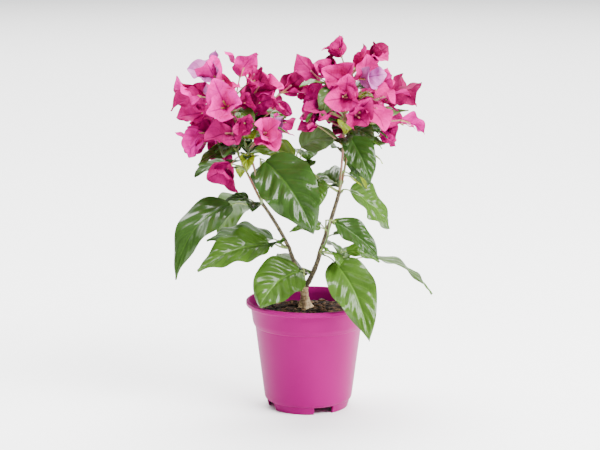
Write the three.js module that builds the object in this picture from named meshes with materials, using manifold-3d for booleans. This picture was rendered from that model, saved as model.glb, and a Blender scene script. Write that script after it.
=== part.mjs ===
// A young bougainvillea in a round plastic pot, in millimetres, +Z up. The origin is the middle of the pot's
// foot, on the surface that the pot stands on, and the front looks towards -Y.
import * as THREE from "three";
import { mergeVertices } from "three/addons/utils/BufferGeometryUtils.js";
import Module from "manifold-3d";

const wasm = await Module();
wasm.setup();

const RADIAN = Math.PI / 180;
const UP = new THREE.Vector3(0, 0, 1);

// The gap that is kept between two pieces that touch on the real plant.
const SEAT = 0.3;

// Pot: a thin moulded shell with a rolled lip, a collar, a tapering body and a foot of four lobes.
const RIM_RADIUS = 65;
const RIM_TOP = 113;
const LIP_HEIGHT = 5;
const COLLAR_TOP_RADIUS = 60.5;
const COLLAR_FOOT_RADIUS = 58;
const COLLAR_FOOT = 91;
const LEDGE = 87;
const BODY_TOP_RADIUS = 55.5;
const BODY_FOOT_RADIUS = 46;
const BODY_FOOT = 12;
const FLOOR_UNDERSIDE = 7.5;
const FOOT_RADIUS = 43.5;
const WALL = 1.4;
const CHAMFER = 1;
const LIP_WIDTH = 3;
const STEP_WIDTH = 0.6;
const STEP_HEIGHT = 2.5;
const FOOT_LEAN = 2;
const FLOOR_THICK = 2;
const POT_SIDES = 32;
const LOBES = 4;
const LOBE_GAP_ANGLE = 28;
const LOBE_GAP_SLOPE = 1.5;
const LOBE_GAP_START = 0.7;
const FIRST_GAP_BEARING = -68;

// Potting mix: a plug that fills the pot and rises a little towards the trunk.
const SOIL_MIDDLE = 104;
const SOIL_EDGE = 100;
const SOIL_FLAT_RADIUS = 18;

// Limbs: where the trunk stands, then one arc for each limb. An arc has a bearing in plan (0 is +X, 90 is +Y),
// a climb above the level at its start, a length and the turn of its climb over that length. After them come
// the thickness at the foot and at the tip. A limb ends in a small knob, from which the next ones leave.
const TRUNK_FOOT = new THREE.Vector3(-3.5, 5, SOIL_MIDDLE + SEAT);
const ROOT_FLARE = 1.75;
const KNOB = 1.12;
const KNOB_SIDES = 6;
const FOOT_POINT = 0.5;
const RING_CROWDING = 1.6;
const LEAST_TURN = 0.5;
const LIMBS = {
  trunk: { arc: [-97, 78, 21, -4], thick: [8.6, 7.4], sides: 10, rings: 5 },
  left_bough: { on: "trunk", arc: [189, 68, 42, 4], thick: [4.8, 4.0], sides: 6, rings: 4 },
  left_upper_bough: { on: "left_bough", arc: [178, 64, 52, -10], thick: [4.0, 3.4], sides: 6, rings: 4 },
  right_bough: { on: "trunk", arc: [-15, 58, 39, 20], thick: [5.4, 4.6], sides: 6, rings: 4 },
  right_upper_bough: { on: "right_bough", arc: [12, 70, 62, 4], thick: [4.6, 3.8], sides: 6, rings: 4 },
};

// Masses: each has the limb whose tip its stem meets, the stem's own arc, and rows of leaves and of blooms.
// A leaf row: share of the way up the stem, bearing, climb where the blade begins, stalk length, blade length,
// blade width, droop over the blade, roll.
// A bloom row: share of the way up the stem, bearing, climb, length and turn of its twig, bract length.
const MASSES = {
  front_low_leaves: {
    on: "trunk",
    stem: [-92, 48, 20, 24],
    leaves: [
      [1, -138, 2, 5, 66, 50, 60, -38],
    ],
  },
  left_low_leaves: {
    on: "left_bough",
    stem: [-150, 5, 14, 30],
    leaves: [
      [0.95, -157, 2, 8, 84, 42, 34, -38],
    ],
  },
  right_low_leaves: {
    on: "right_bough",
    stem: [-75, -5, 16, 10],
    leaves: [
      [1, -52, -28, 15, 96, 47, 48, 25],
    ],
  },
  right_mid_leaves: {
    on: "right_bough",
    stem: [-65, 35, 42, 50],
    leaves: [
      [1, -15, -24, 6, 60, 30, 30, 35],
      [0.7, -170, 15, 9, 34, 20, 40, -25],
    ],
  },
  right_side_leaves: {
    on: "right_bough",
    stem: [33, -14, 40, -10],
    leaves: [
      [1, 27, -8, 17, 98, 30, 44, -14],
      [0.6, 84, 6, 12, 62, 36, 56, 10],
    ],
  },
  left_side_leaves: {
    on: "left_upper_bough",
    stem: [-160, -5, 16, 10],
    leaves: [
      [1, -144, -8, 18, 106, 40, 76, -30],
    ],
  },
  centre_front_leaf: {
    on: "left_upper_bough",
    stem: [-92, 15, 62, 100],
    leaves: [
      [1, -39, -30, 6, 94, 58, 34, 46],
    ],
  },
  centre_leaves: {
    on: "right_upper_bough",
    stem: [172, 30, 56, 20],
    leaves: [
      [1, 24, 40, 10, 46, 30, 60, 60],
      [0.8, -178, 30, 12, 44, 28, 40, -40],
      [0.5, -80, -35, 8, 32, 20, 40, 0],
      [0.9, 80, 10, 12, 48, 30, 50, 0],
    ],
  },
  right_back_leaves: {
    on: "right_upper_bough",
    stem: [78, -15, 20, 30],
    leaves: [
      [1, 24, -26, 8, 66, 44, 34, 45],
      [0.6, 120, 20, 14, 60, 36, 50, -20],
    ],
  },
  left_bloom: {
    on: "left_upper_bough",
    stem: [-150, 80, 112, -24],
    leaves: [
      [0.42, -160, 10, 18, 44, 28, 50, -20],
      [0.9, -50, 0, 12, 30, 18, 45, 30],
      [0.22, -30, 20, 8, 24, 14, 50, 10],
      [0.55, 150, 10, 16, 46, 28, 50, -10],
      [0.4, -155, -10, 14, 34, 20, 45, 0],
      [0.5, -90, -15, 18, 26, 15, 45, 0],
    ],
    blooms: [
      [1, -176, 25, 26, -16, 40],
      [0.72, -170, 10, 37, -30, 38],
      [0.95, -162, 76, 30, -16, 38],
      [0.85, 50, 80, 42, -10, 38],
      [0.75, -36, 66, 42, -16, 40],
      [0.8, -105, 40, 34, -16, 42],
      [0.6, -110, 28, 34, -16, 40],
      [0.5, -66, 36, 42, -16, 40],
      [0.4, -128, 45, 36, -90, 34],
      [0.62, -36, 48, 52, -16, 38],
      [0.7, 8, 50, 58, -16, 34],
      [0.85, 153, 15, 28, -16, 38],
      [0.6, 40, 78, 26, -16, 36],
    ],
  },
  right_bloom: {
    on: "right_upper_bough",
    stem: [-60, 80, 126, 10],
    leaves: [
      [0.52, -40, -50, 8, 58, 33, 20, 30],
      [0.4, 14, 0, 18, 28, 16, 50, 20],
      [0.16, 10, -30, 8, 28, 16, 30, 20],
      [0.95, -158, 20, 6, 22, 12, 30, -30],
      [0.97, 23, 25, 6, 21, 12, 30, 20],
      [0.88, 60, 40, 14, 26, 15, 40, 0],
      [0.75, -145, 25, 26, 38, 22, 45, 0],
      [0.9, -120, -25, 24, 36, 22, 45, -30],
      [0.46, 6, 22, 28, 46, 16, 20, 50],
    ],
    blooms: [
      [1, 141, 72, 14, -10, 28],
      [0.92, -20, 50, 16, -10, 34],
      [0.8, 160, 36, 34, -16, 36],
      [0.72, -31, 38, 30, -16, 40],
      [0.66, 10, 26, 50, -16, 40],
      [0.68, -91, 34, 34, -16, 38],
      [0.58, -128, 34, 36, -16, 38],
      [0.6, -50, 30, 40, -16, 38],
      [0.5, -4, 19, 60, -16, 33],
      [0.62, 28, 28, 44, -16, 36],
    ],
  },
};

// The far side repeats the near side's masses, mirrored in plan and varied by a seeded draw.
const SEED = 20261128;
const FAR_BEARING_SPREAD = 24;
const FAR_CLIMB_SPREAD = 12;
const FAR_TRIES = 30;
const FAR_SCALE = [0.78, 1];
const FAR_BLOOM_SETBACK = 26;
const FAR_BLOOM_RAISE = 0.35;
const FAR_PULL = 0.2;
const FAR_STEM = 0.8;
const FAR_NAMES = {
  front_low_leaves: "back_low_leaves",
  left_low_leaves: "left_low_back_leaves",
  right_mid_leaves: "right_mid_back_leaves",
  left_side_leaves: "left_side_back_leaves",
  centre_front_leaf: "centre_back_leaf",
  left_bloom: "left_back_bloom",
  right_bloom: "right_back_bloom",
};

// Leaves, bracts and twigs.
const STEM_THICK = [2.8, 1.8];
const TWIG_THICK = [1.8, 1.3];
const STALK_THICK = [1.6, 1.3];
const STALK_RISE = 28;
const STEM_SIDES = 5;
const STEM_RING_STEP = 20;
const STALK_SIDES = 3;
const STALK_RINGS = 2;
const RIB_SHARE = 0.12;
const RIB_TIP_THICK = 0.8;
const BLADE_SIDES = 4;
const BLADE_THICKNESS = 0.016;
const BLADE_FOLD = 0.2;
const LEAF_OUTLINE = [[0, 0], [0.14, 0.76], [0.38, 1], [0.72, 0.58], [1, 0]];
const BRACT_OUTLINE = [[0, 0], [0.36, 0.76], [0.7, 0.92], [1, 0]];
const BRACT_WIDTH = 0.84;
const BRACT_OPEN = 34;
const BRACT_FLARE = 30;
const BLOOM_APART = 15;
const BRACT_FOLD = -0.22;
const BRACTS_IN_A_BLOOM = 3;
const ROOT_SINK = 0.5;

// How meshes are joined and kept sound: the distance within which vertices merge, the detail that fusing
// drops, the least height of a face and least distance of two vertices, and a height that counts as none.
const MERGE_DISTANCE = 1e-4;
const FUSE_TOLERANCE = 0.05;
const LEAST_HEIGHT = 0.002;
const NO_HEIGHT = 0.00002;

// What the test for a clear place goes by.
const SAMPLE_STEP = 5;
const BLADE_CLEARANCE = 5;
const FUSED_CLEARANCE = 2;
const POT_CLEARANCE = 3;
const CROWN_HALF_DEPTH = 82;

function material(color, roughness) {
  return new THREE.MeshStandardMaterial({ color, roughness, metalness: 0 });
}

const POT_PLASTIC = material(0xc2509a, 0.35);
const SOIL_MIX = material(0x2b211b, 0.95);
const BARK = material(0x8a6b52, 0.8);
const LEAF_GREEN = material(0x2f6b2c, 0.4);
const BRACT_PINK = material(0xd83a90, 0.6);

// A linear congruential generator, so that each run draws the same numbers.
function dice(seed) {
  let state = seed;
  return function roll() {
    state = (state * 1664525 + 1013904223) % 4294967296;
    return state / 4294967296;
  };
}

// An arc in the plane of two unit vectors: it leaves `from` at the angle `start` from `ahead` towards `up`,
// and that angle turns evenly by `turn` over the arc's length.
function planeArc(from, ahead, up, start, length, turn) {
  const first = start * RADIAN;
  const swing = (Math.abs(turn) < LEAST_TURN ? LEAST_TURN : turn) * RADIAN;
  const side = up.clone().cross(ahead);
  return {
    length,
    side,
    point(t) {
      const along = (length / swing) * (Math.sin(first + swing * t) - Math.sin(first));
      const rise = (length / swing) * (Math.cos(first) - Math.cos(first + swing * t));
      return from.clone().addScaledVector(ahead, along).addScaledVector(up, rise);
    },
    tangent(t) {
      const angle = first + swing * t;
      return ahead.clone().multiplyScalar(Math.cos(angle)).addScaledVector(up, Math.sin(angle));
    },
  };
}

function plantArc(from, bearing, climb, length, turn) {
  const ahead = new THREE.Vector3(Math.cos(bearing * RADIAN), Math.sin(bearing * RADIAN), 0);
  return planeArc(from, ahead, UP, climb, length, turn);
}

// The direction across the arc and the one square to the face, after a roll about the arc itself.
function frameAt(arc, t, roll) {
  const tangent = arc.tangent(t);
  const face = tangent.clone().cross(arc.side);
  const c = Math.cos(roll * RADIAN);
  const s = Math.sin(roll * RADIAN);
  return {
    across: arc.side.clone().multiplyScalar(c).addScaledVector(face, s),
    face: face.clone().multiplyScalar(c).addScaledVector(arc.side, -s),
  };
}

function closedSolid(geometry) {
  geometry.deleteAttribute("normal");
  geometry.deleteAttribute("uv");
  const merged = mergeVertices(geometry, MERGE_DISTANCE);
  return new wasm.Manifold(
    new wasm.Mesh({
      numProp: 3,
      vertProperties: new Float32Array(merged.attributes.position.array),
      triVerts: new Uint32Array(merged.index.array),
    }),
  );
}

// Moves each vertex of a geometry to the place that `place` works out from its old one.
function reshape(geometry, place) {
  const position = geometry.attributes.position;
  const vertex = new THREE.Vector3();
  for (let i = 0; i < position.count; i++) {
    vertex.fromBufferAttribute(position, i);
    const moved = place(vertex.clone());
    position.setXYZ(i, moved.x, moved.y, moved.z);
  }
  return geometry;
}

// A cylinder laid along an arc, its rings crowded towards the foot. `radiusAt` gives its radius at a share of
// the way along.
function limbSolid(arc, radiusAt, sides, rings) {
  const cylinder = new THREE.CylinderGeometry(1, 1, 1, sides, rings);
  return closedSolid(
    reshape(cylinder, (v) => {
      const t = Math.pow(v.y + 0.5, RING_CROWDING);
      const { across, face } = frameAt(arc, t, 0);
      const r = radiusAt(t);
      return arc.point(t).addScaledVector(across, v.x * r).addScaledVector(face, -v.z * r);
    }),
  );
}

function tapered(thick) {
  return (t) => (thick[0] + (thick[1] - thick[0]) * t) / 2;
}

// The same, with the very foot narrowed, where several stems leave one knob side by side.
function pointed(thick) {
  return (t) => (tapered(thick)(t) * (t === 0 ? FOOT_POINT : 1));
}

// A four-sided sphere drawn out along an arc into a thin blade: its poles are the base and the tip, and its
// sides are the two margins and the two faces of the midrib.
function bladeSolid(arc, width, outline, fold, roll) {
  const steps = outline.length - 1;
  const sphere = new THREE.SphereGeometry(1, BLADE_SIDES, steps);
  const half = (arc.length * BLADE_THICKNESS) / 2;
  return closedSolid(
    reshape(sphere, (v) => {
      const height = THREE.MathUtils.clamp(v.y, -1, 1);
      const [t, share] = outline[Math.round((1 - Math.acos(height) / Math.PI) * steps)];
      if (share === 0) return arc.point(t);
      const { across, face } = frameAt(arc, t, roll);
      const reach = (width / 2) * share;
      const onMargin = Math.abs(v.x) > Math.abs(v.z);
      const point = arc.point(t);
      if (onMargin) {
        return point.addScaledVector(across, Math.sign(v.x) * reach).addScaledVector(face, fold * reach);
      }
      return point.addScaledVector(face, -Math.sign(v.z) * half);
    }),
  );
}

// Points about SAMPLE_STEP apart over a blade, from which its distance to other pieces is told.
function bladeSamples(arc, width, outline, fold, roll) {
  const rows = Math.max(3, Math.round(arc.length / SAMPLE_STEP));
  const points = [];
  for (let i = 1; i <= rows; i++) {
    const t = i / rows;
    const { across, face } = frameAt(arc, t, roll);
    const reach = (width / 2) * outlineShare(outline, t);
    const columns = Math.max(1, Math.round(reach / SAMPLE_STEP));
    for (let j = -columns; j <= columns; j++) {
      const out = (j / columns) * reach;
      points.push(arc.point(t).addScaledVector(across, out).addScaledVector(face, fold * Math.abs(out)));
    }
  }
  return points;
}

function outlineShare(outline, t) {
  for (let i = 1; i < outline.length; i++) {
    const [t0, s0] = outline[i - 1];
    const [t1, s1] = outline[i];
    if (t <= t1) return s0 + ((s1 - s0) * (t - t0)) / (t1 - t0);
  }
  return 0;
}

function arcSamples(arc) {
  const count = Math.max(2, Math.round(arc.length / SAMPLE_STEP));
  return Array.from({ length: count + 1 }, (_, i) => arc.point(i / count));
}

// The places that are taken so far. A new piece is clear when it lies inside the crown's depth and off the
// pot, and none of its points comes too near a point of another node, or of another blade in its own node.
const taken = [];

function outOfBounds(p) {
  const inPot = p.z < RIM_TOP + POT_CLEARANCE && Math.hypot(p.x, p.y) < RIM_RADIUS + POT_CLEARANCE;
  return inPot || Math.abs(p.y) > CROWN_HALF_DEPTH;
}

function isClear(points, owner, kind, spray) {
  if (points.some(outOfBounds)) return false;
  return !taken.some((piece) => {
    const same = piece.owner === owner;
    if (same && (piece.spray === spray || kind !== "blade" || piece.kind !== "blade")) return false;
    const apart = (same ? FUSED_CLEARANCE : BLADE_CLEARANCE) + piece.thick / 2;
    return points.some((p) => piece.points.some((q) => p.distanceTo(q) < apart));
  });
}

function take(points, owner, kind, spray, thick) {
  taken.push({ points, owner, kind, spray, thick });
}

// The corner of a face that faces its longest side, with the shortest way to it from that side.
function thinWay(corners, points) {
  const [a, b, c] = corners.map((corner) => points[corner]);
  const sides = [b.distanceTo(c), c.distanceTo(a), a.distanceTo(b)];
  const tip = sides.indexOf(Math.max(...sides));
  const side = new THREE.Line3(points[corners[(tip + 1) % 3]], points[corners[(tip + 2) % 3]]);
  const foot = side.closestPointToPoint(points[corners[tip]], false, new THREE.Vector3());
  return { tip: corners[tip], way: points[corners[tip]].clone().sub(foot) };
}

// The points that lie nearer than LEAST_HEIGHT to another one, found among those next to each other along X.
function crowded(points) {
  const inOrder = [...points].sort((a, b) => a.x - b.x);
  return inOrder.filter((point, i) => {
    for (let j = i + 1; j < inOrder.length && inOrder[j].x - point.x < LEAST_HEIGHT; j++) {
      if (point.distanceTo(inOrder[j]) < LEAST_HEIGHT) return true;
    }
    return false;
  });
}

// A body's mesh with no face too thin to last and no two vertices in one place. A thin face is opened by
// moving its tip away from its longest side, and where it has no height, or two vertices meet, by a draw.
function soundMesh(solid) {
  const { vertProperties, triVerts } = solid.getMesh();
  const roll = dice(SEED);
  const side = () => (2 * roll() - 1) * LEAST_HEIGHT;
  const drawn = () => new THREE.Vector3(side(), side(), side());
  const points = [];
  for (let i = 0; i < vertProperties.length; i += 3) {
    points.push(new THREE.Vector3().fromArray(vertProperties, i));
  }
  for (let moves = 1; moves > 0; ) {
    moves = 0;
    for (let i = 0; i < triVerts.length; i += 3) {
      const { tip, way } = thinWay(Array.from(triVerts.subarray(i, i + 3)), points);
      if (way.length() >= LEAST_HEIGHT) continue;
      points[tip].add(way.length() > NO_HEIGHT ? way.setLength(LEAST_HEIGHT / 2) : drawn());
      moves += 1;
    }
    for (const point of crowded(points)) {
      point.add(drawn());
      moves += 1;
    }
  }
  return { positions: points.flatMap((point) => point.toArray()), corners: Array.from(triVerts) };
}

// The largest closed body of a union, which leaves out sealed hollows and loose scraps.
function fuse(pieces) {
  const bodies = wasm.Manifold.union(pieces).simplify(FUSE_TOLERANCE).decompose();
  return bodies.reduce((best, body) => (body.volume() > best.volume() ? body : best));
}

function meshOf(name, solid, finish) {
  const { positions, corners } = soundMesh(solid);
  const geometry = new THREE.BufferGeometry();
  geometry.setAttribute("position", new THREE.Float32BufferAttribute(positions, 3));
  geometry.setIndex(corners);
  geometry.computeVertexNormals();
  const mesh = new THREE.Mesh(geometry, finish);
  mesh.name = name;
  return mesh;
}

function lathe(profile) {
  const points = profile.map(([r, z]) => new THREE.Vector2(r, z));
  return closedSolid(new THREE.LatheGeometry(points, POT_SIDES).rotateX(Math.PI / 2));
}

// One gap of the foot: a block that spans it, from under the pot up to its floor.
function footGap(bearing) {
  const width = 2 * FOOT_RADIUS * Math.sin((LOBE_GAP_ANGLE / 2) * RADIAN);
  const top = FLOOR_UNDERSIDE - CHAMFER / 2;
  const face = new THREE.Shape();
  face.moveTo(-width / 2, -CHAMFER);
  face.lineTo(width / 2, -CHAMFER);
  face.lineTo(width / 2 - LOBE_GAP_SLOPE, top);
  face.lineTo(-width / 2 + LOBE_GAP_SLOPE, top);
  face.closePath();
  const block = new THREE.ExtrudeGeometry(face, { depth: FOOT_RADIUS, bevelEnabled: false });
  block.rotateX(Math.PI / 2).rotateZ((bearing + 90) * RADIAN);
  const middle = new THREE.Vector3(Math.cos(bearing * RADIAN), Math.sin(bearing * RADIAN), 0);
  middle.multiplyScalar(FOOT_RADIUS * LOBE_GAP_START);
  return closedSolid(block.translate(middle.x, middle.y, 0));
}

function potSolid() {
  const lipFoot = RIM_TOP - LIP_HEIGHT;
  const outside = [
    [0, FLOOR_UNDERSIDE],
    [FOOT_RADIUS - WALL - CHAMFER, FLOOR_UNDERSIDE],
    [FOOT_RADIUS - WALL - FOOT_LEAN, 0],
    [FOOT_RADIUS - FOOT_LEAN, 0],
    [FOOT_RADIUS, FLOOR_UNDERSIDE + CHAMFER / 2],
    [BODY_FOOT_RADIUS - STEP_WIDTH, BODY_FOOT - STEP_HEIGHT],
    [BODY_FOOT_RADIUS, BODY_FOOT],
    [BODY_TOP_RADIUS, LEDGE - STEP_WIDTH],
    [BODY_TOP_RADIUS + CHAMFER, LEDGE],
    [COLLAR_FOOT_RADIUS, COLLAR_FOOT],
    [COLLAR_TOP_RADIUS, lipFoot],
    [RIM_RADIUS - CHAMFER / 2, lipFoot],
    [RIM_RADIUS, lipFoot + CHAMFER],
    [RIM_RADIUS, RIM_TOP - CHAMFER],
    [RIM_RADIUS - CHAMFER, RIM_TOP],
    [RIM_RADIUS - LIP_WIDTH, RIM_TOP],
  ];
  const inside = [
    [COLLAR_TOP_RADIUS - WALL, lipFoot - CHAMFER / 2],
    [COLLAR_FOOT_RADIUS - WALL, COLLAR_FOOT],
    [BODY_TOP_RADIUS - WALL, LEDGE - CHAMFER],
    [BODY_FOOT_RADIUS - WALL, BODY_FOOT],
    [FOOT_RADIUS, FLOOR_UNDERSIDE + FLOOR_THICK],
    [0, FLOOR_UNDERSIDE + FLOOR_THICK],
  ];
  const shell = lathe([...outside, ...inside]);
  const gaps = Array.from({ length: LOBES }, (_, i) => footGap(FIRST_GAP_BEARING + (i * 360) / LOBES));
  return gaps.reduce((solid, gap) => solid.subtract(gap), shell);
}

function soilSolid() {
  const gap = WALL + SEAT;
  const underside = FLOOR_UNDERSIDE + FLOOR_THICK + SEAT;
  return lathe([
    [0, underside],
    [FOOT_RADIUS - CHAMFER, underside],
    [BODY_FOOT_RADIUS - gap, BODY_FOOT + CHAMFER / 2],
    [BODY_TOP_RADIUS - gap, LEDGE - 1.5 * CHAMFER],
    [COLLAR_FOOT_RADIUS - gap, COLLAR_FOOT],
    [COLLAR_FOOT_RADIUS - gap + CHAMFER, SOIL_EDGE],
    [SOIL_FLAT_RADIUS, SOIL_MIDDLE],
    [0, SOIL_MIDDLE],
  ]);
}

// Each limb's arc starts at its parent's tip, clear of it by SEAT along its own direction.
const limbArcs = {};
const tips = {};

function growLimbs(group) {
  for (const [name, limb] of Object.entries(LIMBS)) {
    const [bearing, climb, length, turn] = limb.arc;
    const foot = limb.on ? leaveTip(limb.on, bearing, climb) : TRUNK_FOOT;
    const arc = plantArc(foot, bearing, climb, length, turn);
    limbArcs[name] = arc;
    tips[name] = { point: arc.point(1), radius: (limb.thick[1] / 2) * KNOB };
    take(arcSamples(arc), name, "limb", name, limb.thick[0]);
    const taper = limb.on ? pointed(limb.thick) : flared(limb.thick);
    const stem = limbSolid(arc, taper, limb.sides, limb.rings);
    const solid = fuse([stem, knobSolid(tips[name])]);
    group.add(meshOf(name, limb.on ? solid : solid.trimByPlane([0, 0, 1], TRUNK_FOOT.z), BARK));
  }
}

// The start of a stem that leaves a limb's knob: out along its own way, past the knob by the seat gap.
function leaveTip(limbName, bearing, climb) {
  const tip = tips[limbName];
  return plantArc(tip.point, bearing, climb, tip.radius + SEAT, 0).point(1);
}

function knobSolid(tip) {
  const ball = new THREE.SphereGeometry(tip.radius, KNOB_SIDES, KNOB_SIDES - 2);
  return closedSolid(ball.rotateX(Math.PI / 2).translate(tip.point.x, tip.point.y, tip.point.z));
}

// The trunk's radius: its taper, swollen by the root flare over its lowest part.
function flared(thick) {
  return (t) => tapered(thick)(t) * (1 + (ROOT_FLARE - 1) * Math.pow(1 - t, 3));
}

function growLeaf(mass, row) {
  const [at, bearing, climb, stalk, length, width, droop, roll] = row;
  const foot = mass.arc.point(at);
  const stem = plantArc(foot, bearing, climb + STALK_RISE, stalk, -STALK_RISE);
  const blade = plantArc(stem.point(1), bearing, climb, length, -droop);
  const points = bladeSamples(blade, width, LEAF_OUTLINE, BLADE_FOLD, roll);
  if (!isClear(points, mass.name, "blade", mass.sprays)) return false;
  take(points, mass.name, "blade", mass.sprays, 0);
  take(arcSamples(stem).slice(1), mass.name, "twig", mass.sprays, STALK_THICK[0]);
  mass.sprays += 1;
  const rib = plantArc(stem.point(1), bearing, climb, length * RIB_SHARE, -droop * RIB_SHARE);
  mass.pieces.push(limbSolid(stem, tapered(STALK_THICK), STALK_SIDES, STALK_RINGS));
  mass.pieces.push(limbSolid(rib, tapered([STALK_THICK[1], RIB_TIP_THICK]), STALK_SIDES, 1));
  mass.pieces.push(bladeSolid(blade, width, LEAF_OUTLINE, BLADE_FOLD, roll));
  return true;
}

function growBloom(mass, row) {
  const [at, bearing, climb, reach, turn, bract] = row;
  const twig = plantArc(mass.arc.point(at), bearing, climb, reach, turn);
  const heart = twig.point(1);
  const axis = twig.tangent(1);
  const { across, face } = frameAt(twig, 1, 0);
  const spin = (mass.roll() * 360) / BRACTS_IN_A_BLOOM;
  const bracts = [];
  for (let i = 0; i < BRACTS_IN_A_BLOOM; i++) {
    const angle = (spin + (i * 360) / BRACTS_IN_A_BLOOM) * RADIAN;
    const out = across.clone().multiplyScalar(Math.cos(angle)).addScaledVector(face, Math.sin(angle));
    const from = heart.clone().addScaledVector(axis, -ROOT_SINK);
    bracts.push(planeArc(from, axis, out, BRACT_OPEN, bract, BRACT_FLARE));
  }
  const width = bract * BRACT_WIDTH;
  const stalk = arcSamples(twig).slice(1);
  if (mass.hearts.some((other) => other.distanceTo(heart) < BLOOM_APART)) return false;
  if (!isClear(stalk, mass.name, "twig", mass.sprays)) return false;
  const grown = bracts.filter((blade) => {
    const points = bladeSamples(blade, width, BRACT_OUTLINE, BRACT_FOLD, 0);
    const clear = isClear(points, mass.name, "blade", mass.sprays);
    if (clear) take(points, mass.name, "blade", mass.sprays, 0);
    return clear;
  });
  if (grown.length === 0) return false;
  take(stalk, mass.name, "twig", mass.sprays, TWIG_THICK[0]);
  mass.hearts.push(heart);
  mass.sprays += 1;
  mass.pieces.push(limbSolid(twig, tapered(TWIG_THICK), STALK_SIDES, STALK_RINGS));
  for (const blade of grown) mass.pieces.push(bladeSolid(blade, width, BRACT_OUTLINE, BRACT_FOLD, 0));
  return true;
}

// A bearing mirrored in plan and drawn a share of the way towards +Y.
function mirrored(bearing) {
  return -bearing + (90 + bearing) * FAR_PULL;
}

// The mirrored copy of a mass, for the far side.
function farMass(near) {
  const [bearing, climb, length, turn] = near.stem;
  const setback = near.blooms ? FAR_BLOOM_SETBACK : 0;
  return {
    on: near.on,
    far: true,
    stem: [mirrored(bearing), climb - setback, length * FAR_STEM, turn + setback],
    leaves: near.leaves.map(([at, b, c, stalk, long, wide, droop, tilt]) => [
      at, mirrored(b), c, stalk, long, wide, droop, -tilt,
    ]),
    blooms: near.blooms?.map(([at, b, ...rest]) => [at + (1 - at) * FAR_BLOOM_RAISE, -b, ...rest]),
  };
}

// A far row is varied by the mass's own draws: first its size, then its bearing and its climb.
function varyLeaf([at, bearing, climb, stalk, length, width, droop, tilt], roll) {
  const size = FAR_SCALE[0] + (FAR_SCALE[1] - FAR_SCALE[0]) * roll();
  const heading = bearing + (2 * roll() - 1) * FAR_BEARING_SPREAD;
  const lift = climb + (2 * roll() - 1) * FAR_CLIMB_SPREAD;
  return [at, heading, lift, stalk, length * size, width * size, droop, tilt];
}

function varyBloom([at, bearing, climb, reach, turn, bract], roll) {
  const size = FAR_SCALE[0] + (FAR_SCALE[1] - FAR_SCALE[0]) * roll();
  const heading = bearing + (2 * roll() - 1) * FAR_BEARING_SPREAD;
  const lift = climb + (2 * roll() - 1) * FAR_CLIMB_SPREAD;
  return [at, heading, lift, reach * size, turn, bract * size];
}

// Grows each row, and on the far side tries a row that has no room again with new draws.
function growRows(mass, rows, grow, vary) {
  for (const row of rows ?? []) {
    const tries = mass.plan.far ? FAR_TRIES : 1;
    let done = false;
    for (let i = 0; i < tries && !done; i++) {
      done = grow(mass, mass.plan.far ? vary(row, mass.roll) : row);
    }
  }
}

function startMass(name, plan, seed) {
  const [bearing, climb, length, turn] = plan.stem;
  const foot = leaveTip(plan.on, bearing, climb);
  const arc = plantArc(foot, bearing, climb, length, turn);
  take(arcSamples(arc).slice(1), name, "twig", -1, STEM_THICK[0]);
  const rings = Math.max(STALK_RINGS, Math.round(length / STEM_RING_STEP));
  const stem = limbSolid(arc, pointed(STEM_THICK), STEM_SIDES, rings);
  return { name, plan, arc, roll: dice(seed), sprays: 0, hearts: [], pieces: [stem] };
}

function growMasses(group) {
  const plans = Object.entries(MASSES);
  const farPlans = plans
    .filter(([name]) => FAR_NAMES[name])
    .map(([name, plan]) => [FAR_NAMES[name], farMass(plan)]);
  const masses = [...plans, ...farPlans].map(([name, plan], i) => startMass(name, plan, SEED + i));
  for (const mass of masses) {
    growRows(mass, mass.plan.blooms, growBloom, varyBloom);
    growRows(mass, mass.plan.leaves, growLeaf, varyLeaf);
    const finish = mass.plan.blooms ? BRACT_PINK : LEAF_GREEN;
    group.add(meshOf(mass.name, fuse(mass.pieces), finish));
  }
}

const plant = new THREE.Group();
plant.name = "potted_bougainvillea";
plant.add(meshOf("pot", potSolid(), POT_PLASTIC));
plant.add(meshOf("soil", soilSolid(), SOIL_MIX));
growLimbs(plant);
growMasses(plant);

export default plant;
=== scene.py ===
"""A young bougainvillea in a round pink plastic pot, dressed on the part's solids.

Lengths are in millimetres until a mesh is made, and in metres after that. +Z is up, and the camera is at -Y.
"""

import math

import bpy
import numpy as np
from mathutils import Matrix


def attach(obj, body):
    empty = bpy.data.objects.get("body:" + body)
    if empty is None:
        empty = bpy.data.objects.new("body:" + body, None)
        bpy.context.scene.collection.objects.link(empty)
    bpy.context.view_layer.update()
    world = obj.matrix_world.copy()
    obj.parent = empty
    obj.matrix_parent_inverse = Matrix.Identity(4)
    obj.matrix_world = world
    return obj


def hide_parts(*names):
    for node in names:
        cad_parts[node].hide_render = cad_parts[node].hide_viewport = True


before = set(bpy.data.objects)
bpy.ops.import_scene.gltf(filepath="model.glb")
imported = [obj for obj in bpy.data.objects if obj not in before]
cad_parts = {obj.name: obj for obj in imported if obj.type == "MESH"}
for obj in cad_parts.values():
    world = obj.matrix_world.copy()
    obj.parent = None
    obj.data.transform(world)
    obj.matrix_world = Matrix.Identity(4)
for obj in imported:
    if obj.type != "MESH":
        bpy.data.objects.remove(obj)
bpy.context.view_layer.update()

MM = 0.001
UP = np.array([0.0, 0.0, 1.0])
SEED = 20261128
GOLDEN_ANGLE = 137.5

# Points of a surface that agree to this many digits of a millimetre are one point.
MERGE_DIGITS = 5
PLACE_MAP = "place"

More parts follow.
